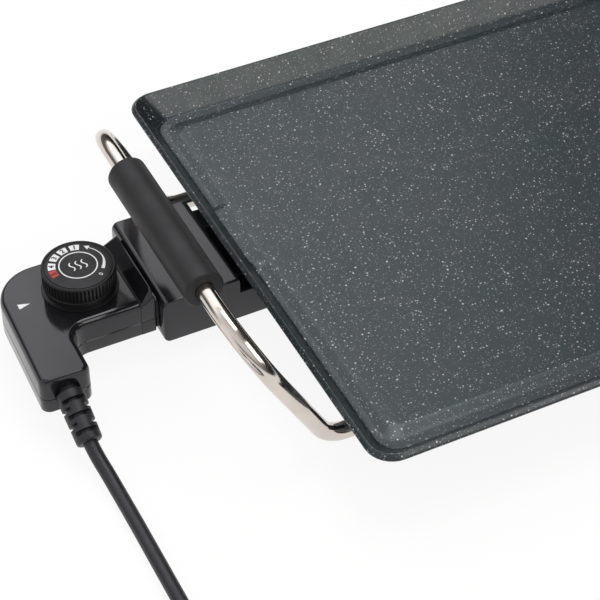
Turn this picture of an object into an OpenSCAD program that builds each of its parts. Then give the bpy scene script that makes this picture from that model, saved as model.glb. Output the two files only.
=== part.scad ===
// Electric grill plate with a plug-in temperature controller, two looped carrying handles and a supply cord.
// Millimetres, +Z up, table at z = 0, long side along X, controller on the -X side.

/* [Plate] */
// Plate length over the lip
plate_length = 480; // [440:1:560]
// Plate width over the lip
plate_width = 280; // [270:1:310]
// Plan radius of the lip's corners
corner_r = 13; // [10:1:18]
// Height of the lip's lower edge above the table
lip_z = 40; // [40:0.5:46]
// Height of the lip's edge
lip_h = 3.2; // [2.5:0.1:4]
// Drop from the top of the lip to the cooking surface
surface_drop = 9.2; // [8:0.1:10]
// Depth of the grease channel below the cooking surface
channel_depth = 2.5; // [2:0.1:3.5]
// Thickness of the cooking surface
plate_t = 4.5; // [4:0.1:5.5]
// Distance from the long edge to the cooking surface
long_margin = 24.2; // [22:0.1:27]
// Distance from the short edge to the cooking surface
short_margin = 19; // [17:0.5:21]
// Width of the level bridge across the channel over the socket
bridge_w = 46; // [44:1:52]

/* [Handles] */
// Diameter of the bent handle rod
rod_d = 8.6; // [7.6:0.1:9.2]
// Distance of the grip axis outside the plate edge
bar_out = 37; // [30:1:42]
// Height of the grip axis above the lip's lower edge
bar_rise = 41; // [36:1:50]
// Distance from the plate's long edge to the handle's lower ends
tail_in = 51.7; // [50:0.1:54]
// How far each handle leg leans in from its lower end to the grip
leg_lean = 8.8; // [4:0.2:14]
// Height of the lower ends above the table
tail_z = 10; // [9:0.5:12]
// Bend radius of the rod's centre line
rod_bend_r = 15; // [12:1:18]
// Grip diameter
grip_d = 19; // [16:0.5:22]
// Grip length
grip_l = 88; // [80:1:104]
// How far the grip sits from the middle of the handle, along the bar
grip_slide = -3; // [-8:0.5:8]

/* [Socket] */
// Distance of the socket's centre from the plate's centre line
socket_y = 28; // [26:0.5:30]
// Width of the socket block
socket_w = 63.6; // [60:0.2:68]
// How far the block's middle lies behind the pins, across the plate
socket_shift = 1.8; // [0:0.2:3]
// Length of the raised socket block
socket_l = 39.1; // [37:0.1:41]
// Depth of the socket block's top below the lip
socket_drop = 4.7; // [4:0.1:6]
// Height of the socket block
socket_h = 25.5; // [25:0.5:27]
// Diameter of the two power pins
pin_d = 5; // [4.4:0.1:5.4]
// Distance between the power pins
pin_gap = 26; // [25.5:0.5:27]
// Diameter of the temperature probe
probe_d = 5.5; // [4.5:0.1:5.8]
// Free play of the plugged nose and pins
plug_clear = 0.5; // [0.4:0.05:0.7]

/* [Controller] */
// Length of the controller body
ctrl_l = 57.3; // [55:0.5:62]
// Width of the controller body
ctrl_w = 47; // [46:0.5:50]
// Height of the controller body
ctrl_h = 20.5; // [20:0.5:22]
// Width of the cord arm
arm_w = 21.8; // [19:0.1:24]
// Distance from the socket centre to the end of the cord arm
arm_reach = 51; // [48:1:56]
// Wall of the housings
wall = 2.2; // [1.8:0.1:2.4]
// Radius of the rounded far corner
ctrl_corner_r = 17; // [12:1:19]
// Distance from the controller body to the socket's collar, taken up by the finger guard
nose_show = 7.6; // [6:0.1:9]
// Height of the finger guard above the controller body
guard_rise = 4; // [3:0.5:5]
// Knob diameter
knob_d = 35; // [30:0.5:38]
// Height of the knob's ribbed part
knob_h = 8.8; // [7:0.2:10]
// Height of the knob's smooth skirt
skirt_h = 4; // [3:0.2:5]

/* [Cord] */
// Cord diameter
cord_d = 7; // [6.4:0.1:7.2]
// Mean diameter of the stored coil
coil_d = 78; // [76:1:84]

/* [Hidden] */

$fn = 64;
eps = 0.01;
fit = 0.05;
lo_r = 0.3;

rim_top = lip_z + lip_h;
top_z = rim_top - surface_drop;
floor_z = top_z - channel_depth;
under_z = top_z - plate_t;
floor_t = 3.5;
pan_z = floor_z - floor_t;
hollow_long = long_margin + 3;
hollow_short = short_margin + 3.5;

tail_half = plate_width / 2 - tail_in;
bar_half = tail_half - leg_lean;
rod_r = rod_d / 2;
grip_r = grip_d / 2;
bar_z = lip_z + bar_rise;
leg_in = 2.5;
foot_x0 = 38;
foot_x1 = 86;
foot_in = 15;
foot_y = tail_half + 1;
pad_h = 3;
foot_top = pan_z - 1.5;
tail_end = 78;
foot_screw = [72, tail_half + 9.2];
pad_at = [52, tail_half];
pad_r = 8;
grub_x = 68;
grub_r = 1.5;

sock_x1 = -0.4;
sock_x0 = sock_x1 - socket_l;
sock_y0 = socket_y + socket_shift - socket_w / 2;
sock_y1 = sock_y0 + socket_w;
sock_top = lip_z - socket_drop;
sock_z0 = sock_top - socket_h;
collar_x = sock_x0 - 1.2;
pin_z = sock_z0 + 13;
nose_w = 41;
nose_z0 = pin_z - 7.5;
nose_z1 = pin_z + 8;
nose_end = -11;
mouth_end = -9;
neck_w = 39;
neck_x = 24;
neck_z0 = pin_z - 8;
neck_z1 = min(pin_z + 10, under_z - 1.2);
pin_r = pin_d / 2;
pin_tip = -34;
probe_r = probe_d / 2;
probe_z = pin_z - 4;
probe_tip = 44;
earth_z = pin_z + 2;
earth_r = 1.5;
neck_screw = [12, 7.6];
apron_x = 14;
apron_z1 = pan_z - 1;

cr = collar_x - nose_show;
cl = cr - ctrl_l;
ctrl_z0 = pin_z - 9.5;
ctrl_z1 = ctrl_z0 + ctrl_h;
guard_x = collar_x - 0.4;
guard_t = 3;
seam_z = ctrl_z0 + 8.2;
half_w = ctrl_w / 2;
arm_r = cl + arm_w;
arm_end = socket_y - arm_reach;
fillet_r = 9;
knob_x = cr - 20.5;
knob_r = knob_d / 2;
knob_gap = 0.4;
skirt_z = ctrl_z1 + knob_gap;
grip_z = skirt_z + skirt_h;
knob_top = grip_z + knob_h;
spindle_r = 3;
boot_shift = 1.15;
boot_x = (cl + arm_r) / 2 - boot_shift;
cord_r = cord_d / 2;
cord_bore = cord_r + 0.3;
boot_a = [boot_x, arm_end - 3, pin_z];
boot_b = [boot_x + 0.4, arm_end - 23.5, max(pin_z - 10.6, 8)];
posts = [[cl + 9, socket_y + 9], [cr - 12, socket_y + half_w - wall - 3.7],
    [cr - 12, socket_y - half_w + wall + 3.7]];

right_x = plate_length + bar_out + grip_r;
x_off = (right_x + cl) / 2;

el_r = 3.5;
el_z = under_z - el_r;
el_in = 18.3;
el_y1 = tail_half - el_in;
el_y2 = 23.3;
el_xr = plate_length - 50;
strap_in = 172;
strap_x = [strap_in, plate_length - strap_in + 28];
strap_y = (el_y1 + el_y2) / 2;
strap_t = 1.5;
strap_half = 30;
strap_w = 12;
insulator_l = 6;
el_rise_from = 18;
el_rise_to = 34;
strap_z = el_z - el_r - strap_t;

// Route of the free cord, from inside the arm to the coil, with its ends square
tie_t = 1;
coil_z = cord_r + tie_t + 0.3;
coil_pitch = cord_d + 1.9;
coil_step = cord_d + 0.7;
coil_turns = 2.5;
coil_out = coil_d / 2 + coil_turns * coil_pitch / 2;
coil_in = coil_out - coil_turns * coil_pitch;
run_x = boot_x + 3.1;
coil_y = -206;
coil_c = [run_x - coil_out, coil_y];
route = [
    [boot_x, arm_end + 18, pin_z],
    [boot_x, arm_end + 9, pin_z],
    [boot_x, arm_end, pin_z],
    boot_a,
    boot_a + (boot_b - boot_a) * 0.32,
    boot_a + (boot_b - boot_a) * 0.66,
    boot_b,
    [boot_x + 1.1, arm_end - 31, boot_b[2] - 3.6],
    [boot_x + 2.1, arm_end - 39.3, cord_r + 2.4],
    [boot_x + 2.7, arm_end - 48, cord_r + 0.7],
    [boot_x + 3.0, arm_end - 57.6, cord_r],
    [run_x, arm_end - 72, cord_r],
    [run_x, arm_end - 88, cord_r],
    [run_x, arm_end - 104, cord_r],
    [run_x, arm_end - 120, cord_r],
    [run_x, arm_end - 136, cord_r + 0.1],
    [run_x, coil_y + 34, cord_r + 0.6],
    [run_x, coil_y + 22, coil_z - 0.2],
    [run_x, coil_y + 12, coil_z],
    [run_x, coil_y + cord_d, coil_z]];

plug_axis_z = 18.8;
plug_r = 18.5;
plug_tail_l = 31;
plug_neck_at = 30;
plug_neck_l = 12;
plug_body_at = 42;
plug_body_l = 20;
plug_face_at = 62;
plug_face_l = 15;
plug_end = plug_face_at + plug_face_l;
plug_pin_in = 10;
plug_root = plug_end - plug_pin_in;
plug_pin_l = 19;
plug_pin_half = 9.5;
clip_l = 10.9;
plug_x = coil_c[0] - coil_out;
plug_y = coil_y + cord_d;

function unit(v) = v / norm(v);
function smooth(t) = t <= 0 ? 0 : t >= 1 ? 1 : t * t * (3 - 2 * t);

// Vectors square to a direction, steady along a path
function side_of(d) = unit(cross(abs(d[2]) > 0.9 ? [1, 0, 0] : [0, 0, 1], d));
function up_of(d) = cross(d, side_of(d));
function heading(p, i) = i == 0 ? unit(p[1] - p[0])
    : i == len(p) - 1 ? unit(p[i] - p[i - 1]) : unit(unit(p[i + 1] - p[i]) + unit(p[i] - p[i - 1]));

// A closed tube with flat ends along ring centres
module swept(p, r, n) {
    m = len(p);
    pts = [for (i = [0 : m - 1]) let (d = heading(p, i), s = side_of(d), u = up_of(d))
        for (k = [0 : n - 1]) p[i] + r * (cos(360 * k / n) * s + sin(360 * k / n) * u)];
    sides = [for (i = [0 : m - 2]) for (k = [0 : n - 1])
        each [[i * n + k, (i + 1) * n + k, i * n + (k + 1) % n],
            [i * n + (k + 1) % n, (i + 1) * n + k, (i + 1) * n + (k + 1) % n]]];
    caps = [for (k = [1 : n - 2]) each [[0, k, k + 1], [(m - 1) * n, (m - 1) * n + k + 1, (m - 1) * n + k]]];
    polyhedron(pts, concat(sides, caps), convexity = 8);
}

// Points of the coil: in on the lower layer, up through half a turn, out on the upper layer
coil_end = 2 * coil_turns + 0.5;
function coil_r(t) = t < coil_turns ? coil_out - coil_pitch * t
    : t < coil_turns + 0.5 ? coil_in : coil_in + coil_pitch * (t - coil_turns - 0.5);
function coil_h(t) = coil_z + coil_step * smooth((t - coil_turns) / 0.5)
    + (plug_axis_z - coil_z - coil_step) * smooth((t - coil_end + 0.5) / 0.5);
coil_ring = [for (i = [0 : 24 * coil_end]) let (t = i / 24)
    [coil_c[0] + coil_r(t) * cos(360 * t), coil_c[1] - coil_r(t) * sin(360 * t), coil_h(t)]];
coil_last = coil_ring[len(coil_ring) - 1];
coil_path = concat([[run_x, coil_y + cord_d, coil_z]], coil_ring, [[plug_x, plug_y, plug_axis_z]]);
coil_gap = min([for (i = [0 : len(coil_ring) - 14]) for (j = [i + 13 : len(coil_ring) - 1])
    norm(coil_ring[i] - coil_ring[j])]) - cord_d;
function run_len(p) = len(p) < 2 ? 0 : [for (i = 1, s = norm(p[1] - p[0]); i < len(p);
    i = i + 1, s = s + (i < len(p) ? norm(p[i] - p[i - 1]) : 0)) s][len(p) - 2];
echo(coil_gap = coil_gap, cord_length = run_len(route) + run_len(coil_path));

// A round bar between two points
module bar(a, b, r) {
    d = unit(b - a);
    s = side_of(d);
    u = cross(d, s);
    multmatrix([[s[0], u[0], d[0], a[0]], [s[1], u[1], d[1], a[1]], [s[2], u[2], d[2], a[2]], [0, 0, 0, 1]])
        cylinder(h = norm(b - a), r = r);
}

// A bend at corner p, coming from a and going to b
module elbow(a, p, b, rb, r) {
    d1 = unit(p - a);
    d2 = unit(b - p);
    ang = acos(d1 * d2);
    n = unit(cross(d1, d2));
    s = p - d1 * rb * tan(ang / 2);
    c = s + cross(n, d1) * rb;
    e = unit(s - c);
    multmatrix([[e[0], d1[0], n[0], c[0]], [e[1], d1[1], n[1], c[1]],
            [e[2], d1[2], n[2], c[2]], [0, 0, 0, 1]])
        rotate_extrude(angle = ang) translate([rb, 0]) circle(r);
}

// Distance a bend takes from each of its two straights
function taken(p, i, rb) = i == 0 || i == len(p) - 1 ? 0
    : rb[i] * tan(acos(unit(p[i] - p[i - 1]) * unit(p[i + 1] - p[i])) / 2);

// A bent rod through corner points, with a bend radius for each corner
// The straights reach into the bends by lap and are thinner by step, so that no two surfaces coincide
lap = 1;
step = 0.05;
module bent(p, rb, r) {
    for (i = [0 : len(p) - 2]) {
        d = unit(p[i + 1] - p[i]);
        a = p[i] + d * (taken(p, i, rb) - (i == 0 ? 0 : lap));
        b = p[i + 1] - d * (taken(p, i + 1, rb) - (i == len(p) - 2 ? 0 : lap));
        bar(a, b, r - step);
    }
    for (i = [1 : len(p) - 2]) elbow(p[i - 1], p[i], p[i + 1], rb[i], r);
}

module box(x0, x1, y0, y1, z0, z1) translate([x0, y0, z0]) cube([x1 - x0, y1 - y0, z1 - z0]);
module rod_x(x0, x1, y, z, r) translate([x0, y, z]) rotate([0, 90, 0]) cylinder(h = x1 - x0, r = r);
module rod_y(y0, y1, x, z, r) translate([x, y0, z]) rotate([-90, 0, 0]) cylinder(h = y1 - y0, r = r);
module rod_z(z0, z1, x, y, r) translate([x, y, z0]) cylinder(h = z1 - z0, r = r);
module at_place() translate([-x_off, 0, 0]) children();
module right_side() translate([plate_length, 0, 0]) mirror([1, 0, 0]) children();
module both_sides() {
    children();
    right_side() children();
}
module front_and_back() {
    children();
    mirror([0, 1, 0]) children();
}

// Rounded slab set in from the plate's edges
module slab(ix, iy, r, z0, z1) {
    x0 = ix;
    x1 = plate_length - ix;
    y1 = plate_width / 2 - iy;
    box(x0 + r, x1 - r, -y1, y1, z0, z1);
    box(x0, x1, -y1 + r, y1 - r, z0, z1);
    for (x = [x0 + r, x1 - r]) for (y = [-y1 + r, y1 - r]) rod_z(z0, z1, x, y, r);
}

// Sloped block between two rounded outlines
module taper(ix0, iy0, r0, z0, ix1, iy1, r1, z1) hull() {
    for (q = [[ix0, iy0, r0, z0], [ix1, iy1, r1, z1 - 0.02]])
        for (x = [q[0] + q[2], plate_length - q[0] - q[2]])
            for (y = [-plate_width / 2 + q[1] + q[2], plate_width / 2 - q[1] - q[2]])
                translate([x, y, q[3]]) cylinder(h = 0.02, r = q[2], $fn = 32);
}

// Bosses on the underside, for the feet, the straps, the socket's neck and the probe
module bosses() {
    both_sides() front_and_back() rod_z(foot_top, under_z + 0.5, foot_screw[0], foot_screw[1], 5);
    for (x = strap_x) for (y = [-strap_y, strap_y]) rod_z(strap_z + strap_t, under_z + 0.5, x, y, 4.5);
    for (s = [-1, 1]) rod_z(neck_z1, under_z + 0.5, neck_screw[0], socket_y + s * neck_screw[1], 3.8);
    box(neck_x + 6, probe_tip + 6, socket_y - 6.5, socket_y + 6.5, probe_z - probe_r - 3, under_z + 0.5);
}

module cooking_plate() color([0.2, 0.22, 0.23]) at_place() difference() {
    union() {
        difference() {
            union() {
                difference() {
                    union() {
                        slab(0, 0, corner_r, lip_z, rim_top);
                        taper(short_margin - 10, long_margin - 14.2, 12, pan_z, 1.6, 1.6,
                            corner_r - 1.6, lip_z + 0.5);
                    }
                    taper(short_margin - 8.5, long_margin - 11.7, 12, floor_z, 1, 1,
                        corner_r - 1, rim_top + 0.1);
                }
                taper(short_margin - 8, long_margin - 8, 10, floor_z - 1,
                    short_margin, long_margin, 8, top_z);
                box(short_margin - 11, short_margin + 2, socket_y - bridge_w / 2, socket_y + bridge_w / 2,
                    floor_z - 1, top_z);
            }
            slab(hollow_short, hollow_long, 10, pan_z - 1, under_z);
            box(-1, hollow_short + 1, socket_y - neck_w / 2 - 1.2, socket_y + neck_w / 2 + 1.2,
                pan_z - 1, under_z);
        }
        bosses();
    }
    both_sides() front_and_back() rod_z(foot_top - 1, foot_top + 5, foot_screw[0], foot_screw[1], 2 + fit);
    for (x = strap_x) for (y = [-strap_y, strap_y]) rod_z(strap_z, strap_z + 9.5, x, y, 1.5 + fit);
    for (s = [-1, 1])
        rod_z(neck_z1 - 1, under_z + 1.5, neck_screw[0], socket_y + s * neck_screw[1], 1.7 + fit);
    rod_x(neck_x + 5, probe_tip + 2, socket_y, probe_z, probe_r + plug_clear);
}

ya = socket_y + pin_gap / 2;
yb = socket_y - pin_gap / 2;
el_path = [[neck_x + insulator_l, ya, pin_z], [neck_x + el_rise_from, ya, pin_z],
    [neck_x + el_rise_to, ya, el_z], [84, ya, el_z], [84, el_y1, el_z], [el_xr, el_y1, el_z],
    [el_xr, el_y2, el_z], [120, el_y2, el_z], [120, -el_y2, el_z], [el_xr, -el_y2, el_z],
    [el_xr, -el_y1, el_z], [98, -el_y1, el_z], [98, yb, el_z],
    [neck_x + el_rise_to, yb, el_z], [neck_x + el_rise_from, yb, pin_z], [neck_x + insulator_l, yb, pin_z]];
el_bend = [0, 12, 12, 12, 12, 22, 22, 22, 22, 22, 22, 14, 14, 12, 12, 0];
module heating_element() color([0.45, 0.42, 0.4]) at_place() bent(el_path, el_bend, el_r);

module element_straps() color([0.7, 0.7, 0.72]) at_place() for (x = strap_x) for (y = [-strap_y, strap_y])
    difference() {
        box(x - strap_w / 2, x + strap_w / 2, y - strap_half, y + strap_half, strap_z, strap_z + strap_t);
        rod_z(strap_z - 1, strap_z + strap_t + 1, x, y, 1.8);
    }

module strap_screws() color([0.8, 0.8, 0.8]) at_place() for (x = strap_x) for (y = [-strap_y, strap_y]) {
    rod_z(strap_z - 2, strap_z, x, y, 3.2);
    rod_z(strap_z - eps, strap_z + 7, x, y, 1.5);
}

module terminal_insulators() color([0.93, 0.91, 0.86]) at_place() for (y = [ya, yb]) difference() {
    rod_x(neck_x, neck_x + insulator_l, y, pin_z, 4.2);
    rod_x(neck_x - 1, neck_x + insulator_l + 1, y, pin_z, pin_r + fit);
}

module terminal_pins() color([0.82, 0.8, 0.74]) at_place() for (y = [ya, yb])
    rod_x(pin_tip, neck_x + insulator_l, y, pin_z, pin_r);

module earth_pin() color([0.8, 0.78, 0.7]) at_place() {
    rod_x(pin_tip + 4, neck_x - 6, socket_y, earth_z, earth_r);
    rod_z(earth_z - 1, under_z, neck_x - 6, socket_y, 1.9);
}

module socket_housing() color([0.04, 0.04, 0.045]) at_place() difference() {
    union() {
        box(sock_x0, sock_x1, sock_y0, sock_y1, sock_z0, sock_top);
        box(collar_x, sock_x0 + 1, socket_y - nose_w / 2 - 2, socket_y + nose_w / 2 + 2,
            nose_z0 - 1.8, nose_z1 + 1.8);
        box(sock_x1 - 1, apron_x, sock_y0, sock_y1, sock_z0, apron_z1);
        box(sock_x1 - 1, neck_x, socket_y - neck_w / 2, socket_y + neck_w / 2, neck_z0, neck_z1);
    }
    box(collar_x - 1, mouth_end, socket_y - nose_w / 2 - plug_clear, socket_y + nose_w / 2 + plug_clear,
        nose_z0 - plug_clear, nose_z1 + plug_clear);
    for (y = [ya, yb]) rod_x(mouth_end - 1, neck_x + 1, y, pin_z, pin_r + fit);
    rod_x(mouth_end - 1, neck_x + 1, socket_y, probe_z, probe_r + plug_clear);
    rod_x(mouth_end - 1, neck_x - 6, socket_y, earth_z, earth_r + fit);
    rod_z(earth_z - 2, neck_z1 + 1, neck_x - 6, socket_y, 2);
    for (s = [-1, 1]) {
        rod_z(neck_z0 - 1, neck_z1 + 1, neck_screw[0], socket_y + s * neck_screw[1], 1.7 + fit);
        rod_z(sock_z0 - 1, neck_z0 + 4, neck_screw[0], socket_y + s * neck_screw[1], 3.4);
    }
}

module socket_screws() color([0.8, 0.8, 0.8]) at_place() for (s = [-1, 1]) {
    rod_z(neck_z0 + 1.6, neck_z0 + 4, neck_screw[0], socket_y + s * neck_screw[1], 3.2);
    rod_z(neck_z0 + 4 - eps, under_z + 1, neck_screw[0], socket_y + s * neck_screw[1], 1.7);
}

module handle_rod() {
    p = [[tail_end, -tail_half, tail_z], [leg_in, -tail_half, tail_z], [-bar_out, -bar_half, bar_z],
        [-bar_out, bar_half, bar_z], [leg_in, tail_half, tail_z], [tail_end, tail_half, tail_z]];
    bent(p, [0, rod_bend_r, rod_bend_r, rod_bend_r, rod_bend_r, 0], rod_r);
}
module left_handle() color([0.78, 0.75, 0.7]) at_place() handle_rod();
module right_handle() color([0.78, 0.75, 0.7]) at_place() right_side() handle_rod();

// Sleeve turned about its own axis, with rounded ends
module grip() translate([-bar_out, grip_slide, bar_z]) rotate([-90, 0, 0]) rotate_extrude() difference() {
    union() {
        translate([0, -grip_l / 2 + 3]) square([grip_r, grip_l - 6]);
        translate([0, -grip_l / 2]) square([grip_r - 3, grip_l]);
        for (s = [-1, 1]) translate([grip_r - 3, s * (grip_l / 2 - 3)]) circle(3);
    }
    translate([-10, -grip_l]) square([10 + rod_r + fit, 2 * grip_l]);
}
module left_grip() color([0.06, 0.06, 0.065]) at_place() grip();
module right_grip() color([0.06, 0.06, 0.065]) at_place() right_side() grip();

module foot() difference() {
    box(foot_x0, foot_x1, foot_y - foot_in, foot_y + foot_in, pad_h, foot_top);
    rod_x(foot_x0 - 1, tail_end + 0.2, tail_half, tail_z, rod_r + fit);
    rod_z(pad_h - 1, foot_top + 1, foot_screw[0], foot_screw[1], 2 + fit);
    rod_z(pad_h - 1, pad_h + 6, foot_screw[0], foot_screw[1], 4.2);
    rod_z(pad_h - 1, pad_h + 0.4, pad_at[0], pad_at[1], pad_r + fit);
    rod_z(pad_h - 1, tail_z, grub_x, tail_half - 1, grub_r + fit);
}
module foot_front_left() color([0.05, 0.05, 0.05]) at_place() mirror([0, 1, 0]) foot();
module foot_back_left() color([0.05, 0.05, 0.05]) at_place() foot();
module foot_front_right() color([0.05, 0.05, 0.05]) at_place() right_side() mirror([0, 1, 0]) foot();
module foot_back_right() color([0.05, 0.05, 0.05]) at_place() right_side() foot();

module foot_screws() color([0.8, 0.8, 0.8]) at_place() both_sides() front_and_back() {
    rod_z(pad_h + 3.4, pad_h + 6, foot_screw[0], foot_screw[1], 4);
    rod_z(pad_h + 6 - eps, foot_top + 4.5, foot_screw[0], foot_screw[1], 2);
}
module foot_pads() color([0.12, 0.12, 0.12]) at_place() both_sides() front_and_back()
    rod_z(0, pad_h + 0.4, pad_at[0], pad_at[1], pad_r);
module grub_screws() color([0.8, 0.8, 0.8]) at_place() both_sides() front_and_back() difference() {
    rod_z(pad_h + 0.3, tail_z, grub_x, tail_half - 1, grub_r);
    rod_x(foot_x0, foot_x1, tail_half, tail_z, rod_r);
}

// Outline of the controller drawn in by d
module ell(z0, z1, d) {
    y0 = socket_y - half_w;
    y1 = socket_y + half_w;
    r = ctrl_corner_r - d;
    ra = max(4 - d, 1);
    box(cl + d + r, cr - d, y0 + d, y1 - d, z0, z1);
    box(cl + d, cl + d + r + 1, y0 + d, y1 - d - r, z0, z1);
    rod_z(z0, z1, cl + d + r, y1 - d - r, r);
    box(cl + d, arm_r - d, arm_end + d + ra, y0 + d + 1, z0, z1);
    box(cl + d + ra, arm_r - d - ra, arm_end + d, arm_end + d + ra + 1, z0, z1);
    for (x = [cl + d + ra, arm_r - d - ra]) rod_z(z0, z1, x, arm_end + d + ra, ra);
    difference() {
        box(arm_r - d - 1, arm_r + fillet_r, y0 - fillet_r, y0 + d + 1, z0, z1);
        rod_z(z0 - 1, z1 + 1, arm_r + fillet_r, y0 - fillet_r, fillet_r + d);
    }
}
module nose_hole(z0, z1) box(cr - wall - 1, guard_x + 1, socket_y - nose_w / 2 - fit,
    socket_y + nose_w / 2 + fit, max(z0, nose_z0 - fit), min(z1, nose_z1 + fit));

// Finger guard at the socket end, with a ramp up to it from the body
module guard(z0, z1) translate([0, socket_y + half_w, 0]) rotate([90, 0, 0]) linear_extrude(height = ctrl_w)
    polygon([[cr - 1, z0], [guard_x, z0], [guard_x, z1], [guard_x - guard_t, z1], [cr - 1, ctrl_z1 - 1]]);

module upper_housing() color([0.03, 0.03, 0.035]) at_place() difference() {
    union() {
        ell(seam_z, ctrl_z1, 0);
        guard(seam_z, ctrl_z1 + guard_rise);
    }
    difference() {
        ell(seam_z - 1, ctrl_z1 - wall, wall);
        for (p = posts) rod_z(seam_z - 2, ctrl_z1, p[0], p[1], 3.2);
    }
    for (p = posts) rod_z(seam_z - 1, ctrl_z1 - wall - 1, p[0], p[1], 1.4 + fit);
    nose_hole(seam_z - 1, ctrl_z1);
    rod_z(ctrl_z1 - wall - 1, ctrl_z1 + 1, knob_x, socket_y, spindle_r + lo_r);
    rod_y(arm_end - 1, arm_end + wall + 1, boot_x, pin_z, 4.9 + fit);
}
module lower_housing() color([0.03, 0.03, 0.035]) at_place() difference() {
    union() {
        ell(ctrl_z0, seam_z, 0);
        box(cr - 1, guard_x, socket_y - half_w, socket_y + half_w, ctrl_z0, seam_z);
    }
    difference() {
        ell(ctrl_z0 + wall, seam_z + 1, wall);
        for (p = posts) rod_z(ctrl_z0, seam_z + 2, p[0], p[1], 3.2);
    }
    for (p = posts) {
        rod_z(ctrl_z0 - 1, seam_z + 1, p[0], p[1], 1.4 + fit);
        rod_z(ctrl_z0 - 1, ctrl_z0 + 2.4, p[0], p[1], 2.6);
    }
    nose_hole(ctrl_z0, seam_z + 1);
    rod_y(arm_end - 1, arm_end + wall + 1, boot_x, pin_z, 4.9 + fit);
}
module housing_screws() color([0.7, 0.7, 0.7]) at_place() for (p = posts) {
    rod_z(ctrl_z0 + 0.6, ctrl_z0 + 2.4, p[0], p[1], 2.5);
    rod_z(ctrl_z0 + 2.4 - eps, ctrl_z1 - wall - 2, p[0], p[1], 1.4);
}

module contact_carrier() color([0.1, 0.1, 0.1]) at_place() difference() {
    union() {
        box(cr - wall - 1, nose_end, socket_y - nose_w / 2, socket_y + nose_w / 2, nose_z0, nose_z1);
        box(cr - wall - 4, cr - wall - 0.1, socket_y - half_w + wall + 0.2, socket_y + half_w - wall - 0.2,
            max(nose_z0 - 0.6, ctrl_z0 + wall), min(nose_z1 + 0.6, ctrl_z1 - wall));
    }
    for (y = [ya, yb]) rod_x(nose_end - 33, nose_end + 1, y, pin_z, 4 + fit);
    rod_x(cr - wall - 5, nose_end + 1, socket_y, probe_z, probe_r + fit);
    rod_x(nose_end - 29, nose_end + 1, socket_y, earth_z, 2.2 + fit);
}
module power_contacts() color([0.75, 0.6, 0.28]) at_place() for (y = [ya, yb]) difference() {
    rod_x(nose_end - 33, nose_end - 2, y, pin_z, 4);
    rod_x(nose_end - 30, nose_end, y, pin_z, pin_r + lo_r);
}
module earth_contact() color([0.75, 0.6, 0.28]) at_place() difference() {
    rod_x(nose_end - 29, nose_end - 2, socket_y, earth_z, 2.2);
    rod_x(nose_end - 26, nose_end, socket_y, earth_z, earth_r + 0.25);
}
module temperature_probe() color([0.8, 0.8, 0.8]) at_place() {
    rod_x(cr - wall - 6, probe_tip - probe_r, socket_y, probe_z, probe_r);
    translate([probe_tip - probe_r, socket_y, probe_z]) sphere(probe_r);
}
module thermostat_base() color([0.85, 0.82, 0.74]) at_place() {
    box(knob_x - 13, knob_x + 9, socket_y - 11, socket_y + 11, ctrl_z0 + wall, ctrl_z0 + wall + 3);
    box(knob_x - 13, knob_x - 8, socket_y - 9, socket_y + 9, ctrl_z0 + wall + 2, ctrl_z0 + wall + 5);
}
module switch_blades() color([0.75, 0.6, 0.28]) at_place() for (y = [socket_y - 5, socket_y + 5])
    box(knob_x - 13, knob_x + 6, y - 2.5, y + 2.5, ctrl_z0 + wall + 5, ctrl_z0 + wall + 5.6);
module cord_clamp() color([0.3, 0.3, 0.3]) at_place() difference() {
    box(cl + wall + 0.3, arm_r - wall - 0.3, arm_end + 9, arm_end + 15,
        ctrl_z0 + wall, pin_z + cord_r + 1.4);
    rod_y(arm_end + 8, arm_end + 16, boot_x, pin_z, cord_bore);
}

rib_count = 60;
module knob() color([0.05, 0.05, 0.055]) at_place() difference() {
    union() {
        rod_z(skirt_z, grip_z + 0.5, knob_x, socket_y, knob_r - 1.7);
        rod_z(grip_z, knob_top, knob_x, socket_y, knob_r);
    }
    for (i = [0 : rib_count - 1])
        translate([knob_x, socket_y, grip_z - 1]) rotate([0, 0, 360 / rib_count * i])
            translate([knob_r + 0.25, 0, 0]) cylinder(h = knob_h, r = 0.6, $fn = 16);
    rod_z(knob_top - 0.5, knob_top + 1, knob_x, socket_y, knob_r - 2.4);
    rod_z(skirt_z - 1, knob_top - 3, knob_x, socket_y, spindle_r + 0.02);
}
module dial_plate() color([0.03, 0.03, 0.03]) at_place()
    rod_z(knob_top - 0.5, knob_top + 0.1, knob_x, socket_y, knob_r - 2.45);
module spindle() color([0.75, 0.75, 0.72]) at_place() {
    rod_z(ctrl_z0 + wall + 6, knob_top - 3, knob_x, socket_y, spindle_r);
    rod_z(ctrl_z0 + wall + 6, ctrl_z1 - wall - 1.2, knob_x, socket_y, 5);
}

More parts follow.
